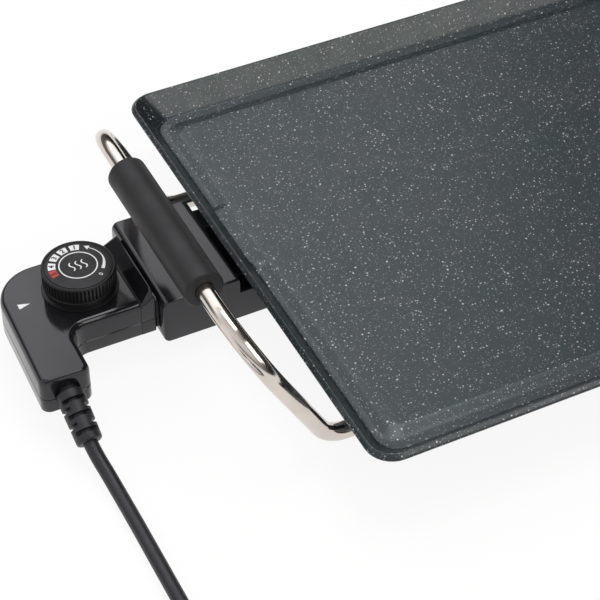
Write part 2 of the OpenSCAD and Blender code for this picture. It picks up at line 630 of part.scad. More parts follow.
// Bend protector: a collar in the wall and four ribbed steps along the drooping axis
module along(a, b) {
    d = unit(b - a);
    s = side_of(d);
    u = cross(d, s);
    multmatrix([[s[0], u[0], d[0], a[0]], [s[1], u[1], d[1], a[1]], [s[2], u[2], d[2], a[2]], [0, 0, 0, 1]])
        children();
}
boot_l = norm(boot_b - boot_a);
module strain_relief() color([0.03, 0.03, 0.03]) at_place() difference() {
    union() {
        rod_y(arm_end - 0.5, arm_end + wall + 1, boot_x, pin_z, 4.9);
        rod_y(arm_end + wall + 0.2, arm_end + wall + 2.4, boot_x, pin_z, min(6.4, arm_w / 2 - wall - 0.4));
        rod_y(boot_a[1], arm_end - 0.1, boot_x, pin_z, 6.1);
        intersection() {
            union() {
                translate(boot_a) sphere(6.5);
                along(boot_a, boot_b) for (i = [0 : 3]) {
                    translate([0, 0, i * boot_l / 4])
                        cylinder(h = boot_l / 4 - 1.1, r1 = 6.6 - 0.15 * i, r2 = 6.5 - 0.15 * i);
                    translate([0, 0, i * boot_l / 4 - 0.5])
                        cylinder(h = boot_l / 4 + 0.5, r = 4.95 - 0.02 * i);
                }
            }
            box(boot_x - 9, boot_x + 9, boot_b[1] - 9, arm_end - 0.15, boot_b[2] - 9, pin_z + 9);
        }
    }
    rod_y(boot_a[1], arm_end + wall + 4, boot_x, pin_z, cord_bore);
    translate(boot_a) sphere(cord_bore + 0.25);
    along(boot_a, boot_b) cylinder(h = boot_l + 3, r = cord_bore);
}
module supply_cord() color([0.03, 0.03, 0.03]) at_place() swept(route, cord_r, 10);
module cord_coil() color([0.03, 0.03, 0.03]) at_place() swept(coil_path, cord_r, 6);

tie_w = 8;
module cord_tie() color([0.05, 0.05, 0.05]) at_place() {
    y0 = coil_c[1] + coil_in - cord_r - 0.6;
    y1 = coil_c[1] + coil_out - 0.75 * coil_pitch + cord_r + 0.8;
    z0 = coil_z - cord_r - 0.2;
    z1 = coil_z + coil_step + cord_r + 0.4;
    difference() {
        box(coil_c[0] - tie_w / 2, coil_c[0] + tie_w / 2, y0 - tie_t, y1 + tie_t, z0 - tie_t, z1 + tie_t);
        box(coil_c[0] - tie_w, coil_c[0] + tie_w, y0, y1, z0, z1);
    }
}

module plug_body() color([0.03, 0.03, 0.03]) at_place() translate([plug_x, plug_y, plug_axis_z])
    rotate([-90, 0, 0]) difference() {
        union() {
            cylinder(h = plug_tail_l, r1 = 4.8, r2 = 7.2);
            translate([0, 0, plug_neck_at]) cylinder(h = plug_neck_l, r1 = 9, r2 = 12);
            translate([0, 0, plug_body_at - eps]) cylinder(h = plug_body_l, r1 = 14.5, r2 = 16.5);
            translate([0, 0, plug_face_at - eps]) cylinder(h = plug_face_l, r = plug_r);
        }
        for (s = [-1, 1]) {
            translate([s * plug_pin_half, 0, plug_root]) cylinder(h = plug_face_l, r = 2 + fit);
            translate([-3, s * (plug_r - 0.6) - 1.2, plug_end - clip_l - 0.1]) cube([6, 2.4, plug_face_l]);
        }
    }
module plug_pins() color([0.82, 0.8, 0.74]) at_place() translate([plug_x, plug_y, plug_axis_z])
    rotate([-90, 0, 0]) for (s = [-1, 1]) translate([s * plug_pin_half, 0, 0]) {
        translate([0, 0, plug_root]) cylinder(h = plug_pin_in + 1, r = 2);
        translate([0, 0, plug_end]) cylinder(h = plug_pin_l, r = 2.4);
    }
module plug_earth() color([0.82, 0.8, 0.74]) at_place() translate([plug_x, plug_y, plug_axis_z])
    rotate([-90, 0, 0]) for (s = [-1, 1])
        translate([-2.9, s * (plug_r - 1.15) - 0.6, plug_end - clip_l - 0.05]) cube([5.8, 1.2, clip_l]);

cooking_plate();
heating_element();
element_straps();
strap_screws();
terminal_insulators();
terminal_pins();
earth_pin();
socket_housing();
socket_screws();
left_handle();
right_handle();
left_grip();
right_grip();
foot_front_left();
foot_back_left();
foot_front_right();
foot_back_right();
foot_screws();
foot_pads();
grub_screws();
upper_housing();
lower_housing();
housing_screws();
contact_carrier();
power_contacts();
earth_contact();
temperature_probe();
thermostat_base();
switch_blades();
cord_clamp();
knob();
dial_plate();
spindle();
strain_relief();
supply_cord();
cord_coil();
cord_tie();
plug_body();
plug_pins();
plug_earth();
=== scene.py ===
# %% [markdown]
# # Electric grill plate
# A countertop grill plate with a speckled stone-look coating, two bent handles and a plug-in temperature
# controller. The exact solids are already built and packed. In this lesson we load them as a fixed frame
# and dress them: softer edges, real finishes, a printed dial, a flexible cord and studio light.

# %% Load the frame
import math

import bmesh
import bpy
from mathutils import Matrix, Vector


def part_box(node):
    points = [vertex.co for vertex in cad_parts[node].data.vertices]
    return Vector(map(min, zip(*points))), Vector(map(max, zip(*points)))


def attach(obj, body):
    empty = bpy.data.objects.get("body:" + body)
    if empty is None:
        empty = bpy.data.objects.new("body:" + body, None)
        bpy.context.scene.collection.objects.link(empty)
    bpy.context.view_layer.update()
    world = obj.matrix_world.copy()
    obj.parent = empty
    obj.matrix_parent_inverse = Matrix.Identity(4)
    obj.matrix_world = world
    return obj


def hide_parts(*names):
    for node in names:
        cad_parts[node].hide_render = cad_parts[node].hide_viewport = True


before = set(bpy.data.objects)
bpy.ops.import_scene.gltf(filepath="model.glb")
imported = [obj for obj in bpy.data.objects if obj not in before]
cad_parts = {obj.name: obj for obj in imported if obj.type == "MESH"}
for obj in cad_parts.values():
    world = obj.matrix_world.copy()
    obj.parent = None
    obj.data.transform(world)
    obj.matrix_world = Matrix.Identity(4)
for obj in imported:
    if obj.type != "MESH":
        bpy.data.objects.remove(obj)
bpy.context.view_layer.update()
scene = bpy.context.scene

# %% [markdown]
# ## A handy origin
# The drawing of this plate measures from the left edge of its lip, in millimetres. Blender works in metres
# from the middle of the object. One small helper turns a drawing point into a Blender point, so the numbers
# below can be read off the drawing.

# %% Drawing points
lip_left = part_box("cooking_plate")[0][0]
PLATE_LENGTH, PLATE_WIDTH = 480, 280
X_AXIS, Y_AXIS, Z_AXIS = Vector((1, 0, 0)), Vector((0, 1, 0)), Vector((0, 0, 1))


def at(x, y, z):
    return Vector((lip_left + x / 1000, y / 1000, z / 1000))


def mm(value):
    return value / 1000


print("lip's left edge at", round(lip_left, 5))

# %% [markdown]
# ## Camera
# The photograph was taken from the front left, about 44 degrees above the table, with a long lens. A camera
# is aimed by giving it the three directions of its picture: right, up and back.

# %% Camera
camera_data = bpy.data.cameras.new("camera")
camera_data.lens = 119.1
camera_data.sensor_width = 36
camera = bpy.data.objects.new("camera", camera_data)
scene.collection.objects.link(camera)
look_right, look_up = Vector((0.8973, -0.4415, 0)), Vector((0.3041, 0.6182, 0.7249))
camera_place = (-0.4862, -0.6255, 0.6689)
aim = Matrix((look_right, look_up, look_right.cross(look_up))).transposed().to_4x4()
camera.matrix_world = Matrix.Translation(camera_place) @ aim
scene.camera = camera
print("camera at", [round(v, 3) for v in camera.location])

# %% [markdown]
# ## Finishes that several materials share
# Moulded plastic, bright metal and the baked coating all need small changes over their surface, or they
# look like computer plastic. We build each such effect once, as a shader node group, and place it in the
# materials with other values. The groups give out plain values. The shader itself stays in each material.


# %% Node group helpers
def new_group(name, inputs, outputs):
    tree = bpy.data.node_groups.new(name, "ShaderNodeTree")
    tree.interface.new_socket("Vector", in_out="INPUT", socket_type="NodeSocketVector")
    for label, value in inputs:
        socket = tree.interface.new_socket(label, in_out="INPUT", socket_type="NodeSocketFloat")
        socket.default_value = value
    for label in outputs:
        tree.interface.new_socket(label, in_out="OUTPUT", socket_type="NodeSocketFloat")
    return tree, tree.nodes.new("NodeGroupInput"), tree.nodes.new("NodeGroupOutput")


def put(tree, kind, values=None, **settings):
    node = tree.nodes.new("ShaderNode" + kind)
    for key, value in settings.items():
        setattr(node, key, value)
    for key, value in (values or {}).items():
        node.inputs[key].default_value = value
    return node


def wire(tree, source, output, target, entry):
    tree.links.new(source.outputs[output], target.inputs[entry])


# %% Drift: slow changes of gloss
drift, drift_in, drift_out = new_group(
    "gloss_drift", [("Scale", 40), ("Low", 0.3), ("High", 0.5)], ["Value"]
)
cloud = put(drift, "TexNoise", {"Detail": 3.0, "Roughness": 0.6})
spread = put(drift, "MapRange", {"From Min": 0.3, "From Max": 0.7})
wire(drift, drift_in, "Vector", cloud, "Vector")
wire(drift, drift_in, "Scale", cloud, "Scale")
wire(drift, cloud, "Fac", spread, "Value")
wire(drift, drift_in, "Low", spread, "To Min")
wire(drift, drift_in, "High", spread, "To Max")
wire(drift, spread, "Result", drift_out, "Value")
print("group", drift.name)

# %% Grain: fine relief of moulded and cast skins
grain, grain_in, grain_out = new_group("fine_grain", [("Scale", 1200), ("Second", 0.35)], ["Height"])
pebble = put(grain, "TexNoise", {"Detail": 2.0, "Roughness": 0.55})
wave = put(grain, "TexNoise", {"Detail": 1.0})
slower = put(grain, "Math", {1: 0.12}, operation="MULTIPLY")
mixed = put(grain, "Math", operation="MULTIPLY_ADD")
wire(grain, grain_in, "Vector", pebble, "Vector")
wire(grain, grain_in, "Vector", wave, "Vector")
wire(grain, grain_in, "Scale", pebble, "Scale")
wire(grain, grain_in, "Scale", slower, 0)
wire(grain, slower, 0, wave, "Scale")
wire(grain, wave, "Fac", mixed, 0)
wire(grain, grain_in, "Second", mixed, 1)
wire(grain, pebble, "Fac", mixed, 2)
wire(grain, mixed, 0, grain_out, "Height")
print("group", grain.name)

# %% [markdown]
# The coating's flecks are little round grains. A Voronoi texture gives every cell its own centre and its
# own random colour. The distance to the centre draws the grain, and the three parts of the colour decide
# whether the cell has a grain at all, how big it is and what tone it gets.

# %% Flecks: round grains of mixed size
fleck, fleck_in, fleck_out = new_group(
    "stone_fleck", [("Scale", 500), ("Size", 0.3), ("Share", 0.4)], ["Mask", "Tone"]
)
cells = put(fleck, "TexVoronoi", {"Randomness": 1.0})
parts = put(fleck, "SeparateColor")
keep = put(fleck, "Math", operation="LESS_THAN")
radius = put(fleck, "Math", operation="MULTIPLY")
ratio = put(fleck, "Math", operation="DIVIDE")
soft = put(fleck, "MapRange", {"From Min": 1.0, "From Max": 0.55})
shown = put(fleck, "Math", operation="MULTIPLY")
wire(fleck, fleck_in, "Vector", cells, "Vector")
wire(fleck, fleck_in, "Scale", cells, "Scale")
wire(fleck, cells, "Color", parts, "Color")
wire(fleck, parts, "Red", keep, 0)
wire(fleck, fleck_in, "Share", keep, 1)
wire(fleck, parts, "Green", radius, 0)
wire(fleck, fleck_in, "Size", radius, 1)
wire(fleck, cells, "Distance", ratio, 0)
wire(fleck, radius, 0, ratio, 1)
wire(fleck, ratio, 0, soft, "Value")
wire(fleck, soft, "Result", shown, 0)
wire(fleck, keep, 0, shown, 1)
wire(fleck, shown, 0, fleck_out, "Mask")
wire(fleck, parts, "Blue", fleck_out, "Tone")
print("group", fleck.name)

# %% Brushing: fine lines along one direction
brush, brush_in, brush_out = new_group("drawn_lines", [("Scale", 900)], ["Height"])
lines = put(brush, "TexNoise", {"Detail": 2.0, "Roughness": 0.5})
wire(brush, brush_in, "Vector", lines, "Vector")
wire(brush, brush_in, "Scale", lines, "Scale")
wire(brush, lines, "Fac", brush_out, "Height")
print("group", brush.name)

# %% [markdown]
# ## Two kinds of material
# Most pieces are moulded plastic or plated metal, so two functions make them all. Plastic has a grain, a
# slightly changing gloss and a colour that drifts a little. Metal has drawn lines and a gloss that dulls in
# patches, as it does on metal that is handled and heated.


# %% Material makers
def start_material(name):
    material = bpy.data.materials.new(name)
    material.use_nodes = True
    tree = material.node_tree
    coord = tree.nodes.new("ShaderNodeTexCoord")
    return material, tree, tree.nodes["Principled BSDF"], coord.outputs["Object"]


def use_group(tree, group, vector, **values):
    node = tree.nodes.new("ShaderNodeGroup")
    node.node_tree = group
    tree.links.new(vector, node.inputs["Vector"])
    for key, value in values.items():
        node.inputs[key].default_value = value
    return node


def tint(tree, mask, colour_a, colour_b):
    node = put(tree, "Mix", data_type="RGBA")
    node.inputs[6].default_value = (*colour_a, 1)
    node.inputs[7].default_value = (*colour_b, 1)
    tree.links.new(mask, node.inputs[0])
    return node.outputs[2]


def relief(tree, shader, height, strength, depth):
    node = put(tree, "Bump", {"Strength": strength, "Distance": depth})
    tree.links.new(height, node.inputs["Height"])
    wire(tree, node, "Normal", shader, "Normal")


def drifting(name, dark, light, gloss, tint_scale, gloss_scale):
    material, tree, shader, place = start_material(name)
    patch = use_group(tree, drift, place, Scale=tint_scale, Low=0.0, High=1.0)
    tree.links.new(tint(tree, patch.outputs[0], dark, light), shader.inputs["Base Color"])
    rough = use_group(tree, drift, place, Scale=gloss_scale, Low=gloss[0], High=gloss[1])
    wire(tree, rough, 0, shader, "Roughness")
    return material, tree, shader, place


COOL_SHINE = (0.97, 0.96, 1, 1)
GRAIN_DEPTH, LINE_DEPTH, LINE_SCALE = 0.00004, 0.00002, 1600


def moulded(name, dark, light, gloss, grain_scale, strength, shine=0.5):
    material, tree, shader, place = drifting(name, dark, light, gloss, tint_scale=55, gloss_scale=130)
    skin = use_group(tree, grain, place, Scale=grain_scale)
    relief(tree, shader, skin.outputs[0], strength, GRAIN_DEPTH)
    shader.inputs["Specular IOR Level"].default_value = shine
    shader.inputs["Specular Tint"].default_value = COOL_SHINE
    return material


def plated(name, dark, light, gloss, stretch, strength):
    material, tree, shader, place = drifting(name, dark, light, gloss, tint_scale=70, gloss_scale=160)
    shader.inputs["Metallic"].default_value = 1.0
    longer = put(tree, "Mapping", {"Scale": stretch})
    tree.links.new(place, longer.inputs["Vector"])
    hair = use_group(tree, brush, longer.outputs[0], Scale=LINE_SCALE)
    relief(tree, shader, hair.outputs[0], strength, LINE_DEPTH)
    return material


# %% The plain finishes
# Plastic: dark and light tint, range of roughness, scale and strength of the grain, and shine.
GLOSS = moulded(
    "gloss_black_plastic", (0.007, 0.007, 0.0085), (0.011, 0.011, 0.013), (0.10, 0.16), 260, 0.10, 0.52
)
GRIP = moulded("grip_plastic", (0.012, 0.012, 0.013), (0.018, 0.018, 0.019), (0.46, 0.58), 2600, 0.35, 0.36)
KNOB = moulded("knob_plastic", (0.006, 0.006, 0.007), (0.010, 0.010, 0.011), (0.30, 0.42), 2200, 0.30, 0.30)
DIAL = moulded("dial_black", (0.010, 0.010, 0.011), (0.016, 0.016, 0.017), (0.44, 0.58), 3000, 0.35, 0.36)
CORD = moulded("cord_rubber", (0.009, 0.009, 0.011), (0.015, 0.015, 0.018), (0.38, 0.52), 1500, 0.25)
FOOT = moulded("foot_plastic", (0.014, 0.014, 0.014), (0.022, 0.022, 0.022), (0.45, 0.60), 1400, 0.45)
PAD = moulded("pad_rubber", (0.020, 0.020, 0.020), (0.034, 0.033, 0.032), (0.70, 0.85), 1100, 0.50)
CARRIER = moulded("carrier_plastic", (0.012, 0.012, 0.012), (0.020, 0.020, 0.020), (0.40, 0.55), 1500, 0.30)
CERAMIC = moulded("bare_ceramic", (0.74, 0.70, 0.62), (0.84, 0.81, 0.74), (0.55, 0.75), 1800, 0.40)
WHITE = moulded("white_print", (0.72, 0.72, 0.73), (0.82, 0.82, 0.83), (0.40, 0.55), 3500, 0.20)
RED = moulded("red_print", (0.42, 0.030, 0.024), (0.52, 0.045, 0.034), (0.40, 0.55), 3500, 0.20)
# Metal: dark and light tint, range of roughness, stretch of the lines and their strength.
NICKEL = plated("warm_nickel", (0.62, 0.56, 0.51), (0.70, 0.635, 0.585), (0.10, 0.17), (1, 1, 1), 0.06)
STEEL = plated("zinc_steel", (0.52, 0.52, 0.53), (0.66, 0.66, 0.65), (0.26, 0.42), (1, 1, 0.2), 0.20)
SHEATH = plated(
    "heat_tinted_sheath", (0.26, 0.20, 0.16), (0.38, 0.34, 0.31), (0.34, 0.50), (0.2, 1, 1), 0.25
)
PINS = plated("nickel_brass", (0.60, 0.56, 0.47), (0.72, 0.69, 0.60), (0.18, 0.30), (0.2, 1, 1), 0.15)
BRASS = plated("contact_brass", (0.56, 0.40, 0.14), (0.70, 0.54, 0.22), (0.22, 0.36), (0.2, 1, 1), 0.18)
print("plain finishes:", len(bpy.data.materials))

# %% [markdown]
# ## Stone-look coating
# The plate's coating is a dark grey paint with a green-blue cast, sprayed over with pale, grey and pinkish
# flecks in several sizes. Three layers of flecks with different sizes come close to that. The flecks stand
# a little proud of the paint, so they also feed the bump.

# %% Coating
# Each layer of flecks: scale, size, share of the cells, pale colour and warm colour.
fleck_layers = [
    (340, 0.22, 0.58, (0.58, 0.59, 0.60), (0.36, 0.31, 0.31)),
    (640, 0.35, 0.66, (0.41, 0.42, 0.43), (0.23, 0.20, 0.205)),
    (1150, 0.46, 0.66, (0.23, 0.24, 0.245), (0.13, 0.122, 0.128)),
]
FLECK_RISE, COATING_BUMP, COATING_DEPTH = 0.6, 0.22, 0.00005
STONE, stone, shader, place = start_material("stone_coating")
cloudy = use_group(stone, drift, place, Scale=26, Low=0.0, High=1.0)
paint = tint(stone, cloudy.outputs[0], (0.006, 0.014, 0.014), (0.012, 0.016, 0.021))
height = None
for scale, size, share, pale, warm in fleck_layers:
    dots = use_group(stone, fleck, place, Scale=scale, Size=size, Share=share)
    dot_colour = tint(stone, dots.outputs["Tone"], warm, pale)
    layer = put(stone, "Mix", data_type="RGBA")
    wire(stone, dots, "Mask", layer, 0)
    stone.links.new(paint, layer.inputs[6])
    stone.links.new(dot_colour, layer.inputs[7])
    paint = layer.outputs[2]
    if height is None:
        height = dots.outputs["Mask"]
    else:
        total = put(stone, "Math", operation="ADD")
        stone.links.new(height, total.inputs[0])
        wire(stone, dots, "Mask", total, 1)
        height = total.outputs[0]
stone.links.new(paint, shader.inputs["Base Color"])
shader.inputs["Specular IOR Level"].default_value = 0.62
shader.inputs["Specular Tint"].default_value = (0.89, 0.98, 1.0, 1)
sheen = use_group(stone, drift, place, Scale=90, Low=0.29, High=0.37)
wire(stone, sheen, 0, shader, "Roughness")
skin = use_group(stone, grain, place, Scale=900)
uneven = put(stone, "Math", {1: FLECK_RISE}, operation="MULTIPLY_ADD")
stone.links.new(height, uneven.inputs[0])
wire(stone, skin, 0, uneven, 2)
relief(stone, shader, uneven.outputs[0], COATING_BUMP, COATING_DEPTH)
print("coating nodes:", len(stone.nodes))

# %% [markdown]
# ## Supply cord
# The cord is one flexible lead, 7 mm thick and about 1.52 m long. It leaves the controller's arm, droops to
# the table and runs forward, and what the picture does not show is wound into a small coil of two layers. A
# Bezier curve through the drawing's points, with a round bevel, is the simplest true tube in Blender.

# %% Cord route
route = [
    (-95.85, -5, 22.8), (-95.85, -14, 22.8), (-95.85, -23, 22.8), (-95.85, -26, 22.8),
    (-95.722, -32.56, 19.408), (-95.586, -39.53, 15.804), (-95.45, -46.5, 12.2), (-94.75, -54, 8.6),
    (-93.75, -62.3, 5.9), (-93.15, -71, 4.2), (-92.85, -80.6, 3.5), (-92.75, -95, 3.5), (-92.75, -111, 3.5),
    (-92.75, -127, 3.5), (-92.75, -143, 3.5), (-92.75, -159, 3.6), (-92.75, -172, 4.1), (-92.75, -184, 4.6),
    (-92.75, -194, 4.8), (-92.75, -199, 4.8),
]
boot_top, boot_tip = route[3], route[6]
CORD_R = 3.5
COIL_X, COIL_Y, COIL_OUT, COIL_IN, PITCH = -142.875, -206, 50.125, 27.875, 8.9
COIL_LOW, LAYER_RISE, END_RISE, RISE_TURNS = 4.8, 7.7, 6.3, 0.5
INWARD_END, OUTWARD_START, OUTWARD_END = 2.5, 3, 5
POINTS_A_TURN, COIL_POINTS = 24, 133
plug_start, plug_inside = (-193.0, -199, 18.8), (-193.0, -191, 18.8)


def ease(t):
    t = min(max(t, 0), 1)
    return t * t * (3 - 2 * t)


def coil_point(turn):
    if turn < INWARD_END:
        reach = COIL_OUT - PITCH * turn
    else:
        reach = COIL_IN + PITCH * max(turn - OUTWARD_START, 0)
    second_layer = LAYER_RISE * ease((turn - INWARD_END) / RISE_TURNS)
    cord_end = END_RISE * ease((turn - OUTWARD_END) / RISE_TURNS)
    level = COIL_LOW + second_layer + cord_end
    angle = math.tau * turn
    return (COIL_X + reach * math.cos(angle), COIL_Y - reach * math.sin(angle), level)


route += [coil_point(i / POINTS_A_TURN) for i in range(COIL_POINTS)] + [plug_start, plug_inside]
print("points on the cord:", len(route))

# %% Cord tube
cord_curve = bpy.data.curves.new("supply_lead", "CURVE")
cord_curve.dimensions = "3D"
cord_curve.resolution_u = 4
cord_curve.bevel_depth = mm(CORD_R)
cord_curve.bevel_resolution = 5
cord_curve.use_fill_caps = True
strand = cord_curve.splines.new("BEZIER")
strand.bezier_points.add(len(route) - 1)
for knot, point in zip(strand.bezier_points, route):
    knot.co = at(*point)
    knot.handle_left_type = knot.handle_right_type = "AUTO"
cord_curve.materials.append(CORD)
lead = bpy.data.objects.new("supply_lead", cord_curve)
scene.collection.objects.link(lead)
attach(lead, "controller")
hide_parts("supply_cord", "cord_coil")

# %% [markdown]
# ## Three ways to make a shape
# Nearly every piece below is made in one of three ways. A turned piece is a profile spun round an axis. A
# lofted piece is a row of rounded outlines joined by Bridge. A bent rod is a circle pushed along its
# straights and spun through its bends. Each way is one short function.


# %% Turning
def turned(bm, profile, origin, axis, sides):
    side = axis.orthogonal().normalized()
    chain = [bm.verts.new(origin + side * mm(r) + axis * mm(h)) for r, h in profile]
    edges = [bm.edges.new(pair) for pair in zip(chain, chain[1:])]
    bmesh.ops.spin(
        bm, geom=chain + edges, cent=origin, axis=axis, angle=math.tau, steps=sides, use_merge=True
    )
    bmesh.ops.remove_doubles(bm, verts=bm.verts[:], dist=1e-7)


# %% Lofting rounded outlines
def open_ring(bm, face):
    ring = list(face.edges)
    bmesh.ops.delete(bm, geom=[face], context="FACES_ONLY")
    return ring


def outline(bm, centre, across, up, half_across, half_up, corner, steps):
    turn = Matrix((across, up, across.cross(up))).transposed().to_4x4()
    size = Matrix.Diagonal((mm(half_across) * 2, mm(half_up) * 2, 1, 1))
    place = Matrix.Translation(centre) @ turn @ size
    sheet = bmesh.ops.create_grid(bm, x_segments=1, y_segments=1, size=0.5, matrix=place)
    rounded = bmesh.ops.bevel(
        bm, geom=sheet["verts"], offset=mm(corner), offset_type="OFFSET", affect="VERTICES",
        segments=steps, profile=0.5, material=-1,
    )
    return open_ring(bm, rounded["verts"][0].link_faces[0])


def lofted(bm, rings, close_first=True, close_last=True):
    for ring, following in zip(rings, rings[1:]):
        bmesh.ops.bridge_loops(bm, edges=ring + following)
    for ring, wanted in ((rings[0], close_first), (rings[-1], close_last)):
        if wanted:
            bmesh.ops.edgeloop_fill(bm, edges=ring)


# %% Bending a rod
def verts_of(geom):
    return [g for g in geom if isinstance(g, bmesh.types.BMVert)]


def edges_of(geom):
    return [g for g in geom if isinstance(g, bmesh.types.BMEdge)]


def grow(bm, ring):
    grown = bmesh.ops.extrude_edge_only(bm, edges=ring)["geom"]
    moved = verts_of(grown)
    return moved, [edge for edge in edges_of(grown) if all(v in moved for v in edge.verts)]


def bent_rod(bm, corners, bends, rod_radius, sides=28, steps=14):
    heading = (corners[1] - corners[0]).normalized()
    place = Matrix.Translation(corners[0]) @ heading.to_track_quat("Z", "Y").to_matrix().to_4x4()
    start = bmesh.ops.create_circle(bm, cap_ends=False, radius=mm(rod_radius), segments=sides, matrix=place)
    ring = list({edge for vert in start["verts"] for edge in vert.link_edges})
    here = corners[0]
    for i in range(1, len(corners)):
        heading = (corners[i] - corners[i - 1]).normalized()
        last = i == len(corners) - 1
        following = heading if last else (corners[i + 1] - corners[i]).normalized()
        angle = heading.angle(following) if not last else 0
        bend = 0 if last else mm(bends[i - 1])
        taken = bend * math.tan(angle / 2)
        stop = corners[i] - heading * taken
        moved, ring = grow(bm, ring)
        bmesh.ops.translate(bm, verts=moved, vec=stop - here)
        if last:
            break
        hinge = heading.cross(following).normalized()
        swung = bmesh.ops.spin(
            bm, geom=ring, cent=stop + hinge.cross(heading) * bend, axis=hinge, angle=angle, steps=steps
        )
        ring = edges_of(swung["geom_last"])
        here = corners[i] + following * taken
    bmesh.ops.remove_doubles(bm, verts=bm.verts[:], dist=1e-7)
    bmesh.ops.holes_fill(bm, edges=bm.edges[:], sides=sides)


# %% Finishing a piece
def make_piece(bm, name, material, body, stands_for=(), smooth=40):
    bmesh.ops.recalc_face_normals(bm, faces=bm.faces[:])
    mesh = bpy.data.meshes.new(name)
    bm.to_mesh(mesh)
    bm.free()
    mesh.materials.append(material)
    mesh.shade_smooth()
    mesh.set_sharp_from_angle(angle=math.radians(smooth))
    piece = bpy.data.objects.new(name, mesh)
    scene.collection.objects.link(piece)
    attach(piece, body)
    if stands_for:
        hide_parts(*stands_for)
    print(name, "faces:", len(mesh.polygons))
    return piece


# %% [markdown]
# ## Cooking plate
# The plate is one aluminium casting: a thin lip, a wall that slopes down into a grease channel, and a
# raised cooking surface with a soft shoulder. It could be sculpted, but it is really a stack of rounded
# rectangles, each with its own size and height, so we draw those and bridge them.

# %% Plate outlines
LIP_Z, RIM, TOP, FLOOR, UNDER, PAN = 40.0, 43.2, 34.0, 31.5, 29.5, 28.0
plate_middle = PLATE_LENGTH / 2
# Each outline: inset from the short edges, inset from the long edges, corner radius and height.
shoulder = [
    (13.3 + 5.3 * u, 18.3 + 5.5 * u, 9 - u, FLOOR + 0.05 + 2.3 * u) for u in (1, 0.75, 0.5, 0.25, 0)
]
stations = [
    (70, 75, 6, TOP + 0.1), (26, 30, 8, TOP + 0.05), (19.6, 24.8, 8, TOP), (19.0, 24.2, 8, TOP - 0.06),
]
stations += shoulder + [
    (12.5, 16.8, 10, FLOOR - 0.02), (11.0, 13.0, 10.6, FLOOR), (10.8, 12.8, 10.7, FLOOR + 0.03),
    (10.3, 12.3, 10.9, FLOOR + 0.35), (9.5, 11.3, 11.3, FLOOR + 1.4), (2.9, 3.1, 10.7, RIM - 1.0),
    (2.5, 2.6, 10.9, RIM - 0.35), (2.25, 2.3, 11.1, RIM - 0.05), (2.0, 2.0, 11.2, RIM),
    (1.75, 1.75, 11.4, RIM - 0.12), (0.25, 0.25, 12.75, RIM - 1.6), (0.0, 0.0, 13.0, RIM - 2.0),
    (0.0, 0.0, 13.0, LIP_Z + 0.8), (0.25, 0.25, 12.75, LIP_Z + 0.2), (0.9, 0.9, 12.1, LIP_Z),
    (1.7, 1.9, 11.4, LIP_Z - 0.3), (8.2, 9.2, 12.0, PAN + 1.2), (9.2, 10.3, 12, PAN + 0.3),
    (10.4, 11.5, 11.6, PAN), (21.8, 26.4, 10.4, PAN + 0.05),
    (22.5, 27.2, 10, PAN + 0.4), (22.7, 27.4, 10, UNDER - 0.5), (23.6, 28.3, 9.4, UNDER),
    (70, 75, 6, UNDER + 0.05),
]
print("outlines in the plate:", len(stations))

# %% Plate mesh
bm = bmesh.new()
rings = [
    outline(bm, at(plate_middle, 0, z), X_AXIS, Y_AXIS, plate_middle - ix, PLATE_WIDTH / 2 - iy, r, 8)
    for ix, iy, r, z in stations
]
lofted(bm, rings)
print("plate verts:", len(bm.verts))

# %% [markdown]
# On the controller's side a flat bridge crosses the channel, where the socket's neck and the temperature
# probe pass below, and the wall has a notch for the neck. We cut the left side into strips with Bisect,
# then lift the channel's floor in the middle strips almost to the height of the cooking surface.

# %% Bridge and notch
SOCKET_Y, STRIPS_END = 28, 71
NOTCH_HALF, NOTCH_END = 20.7, 23.2
BRIDGE_Z, BRIDGE_HALF, BRIDGE_RAMP, BRIDGE_END = TOP - 0.25, 26.4, 5.8, 22
WALL_X, WALL_Z, WALL_SLOPE, HALF_WALL = 1.7, LIP_Z - 0.3, 1.6, 1.5
CAP_AREA = 0.004
steps_out = [12, 19, 20.6, 20.8, 21.6, 22.4, 23.2, 24, 24.8, 25.6, 26.4]
for offset in [-s for s in steps_out] + steps_out:
    near = [f for f in bm.faces if max(v.co.x for v in f.verts) < lip_left + mm(STRIPS_END)]
    near += list({e for f in near for e in f.edges}) + list({v for f in near for v in f.verts})
    bmesh.ops.bisect_plane(bm, geom=near, plane_co=at(0, SOCKET_Y + offset, 0), plane_no=Y_AXIS)
for vert in bm.verts:
    x, y, z = (vert.co.x - lip_left) * 1000, vert.co.y * 1000 - SOCKET_Y, vert.co.z * 1000
    underside = max(PAN, WALL_Z - WALL_SLOPE * (x - WALL_X))
    if x < BRIDGE_END and z > underside + HALF_WALL and z < BRIDGE_Z:
        vert.co.z += mm((BRIDGE_Z - z) * ease((BRIDGE_HALF - abs(y)) / BRIDGE_RAMP))
    elif x < NOTCH_END and z < underside + HALF_WALL and z < UNDER and abs(y) < NOTCH_HALF:
        vert.co.z = mm(UNDER)
bmesh.ops.triangulate(bm, faces=[f for f in bm.faces if len(f.verts) > 4 and f.calc_area() < CAP_AREA])
make_piece(bm, "coated_plate", STONE, "griddle", ["cooking_plate"], 50)

# %% [markdown]
# ## Bosses under the plate
# Below the plate stand short cast bosses that take the screws of the feet, the element's straps and the
# socket's neck, and a block that holds the probe's pocket. The larger bosses widen a little at the root.

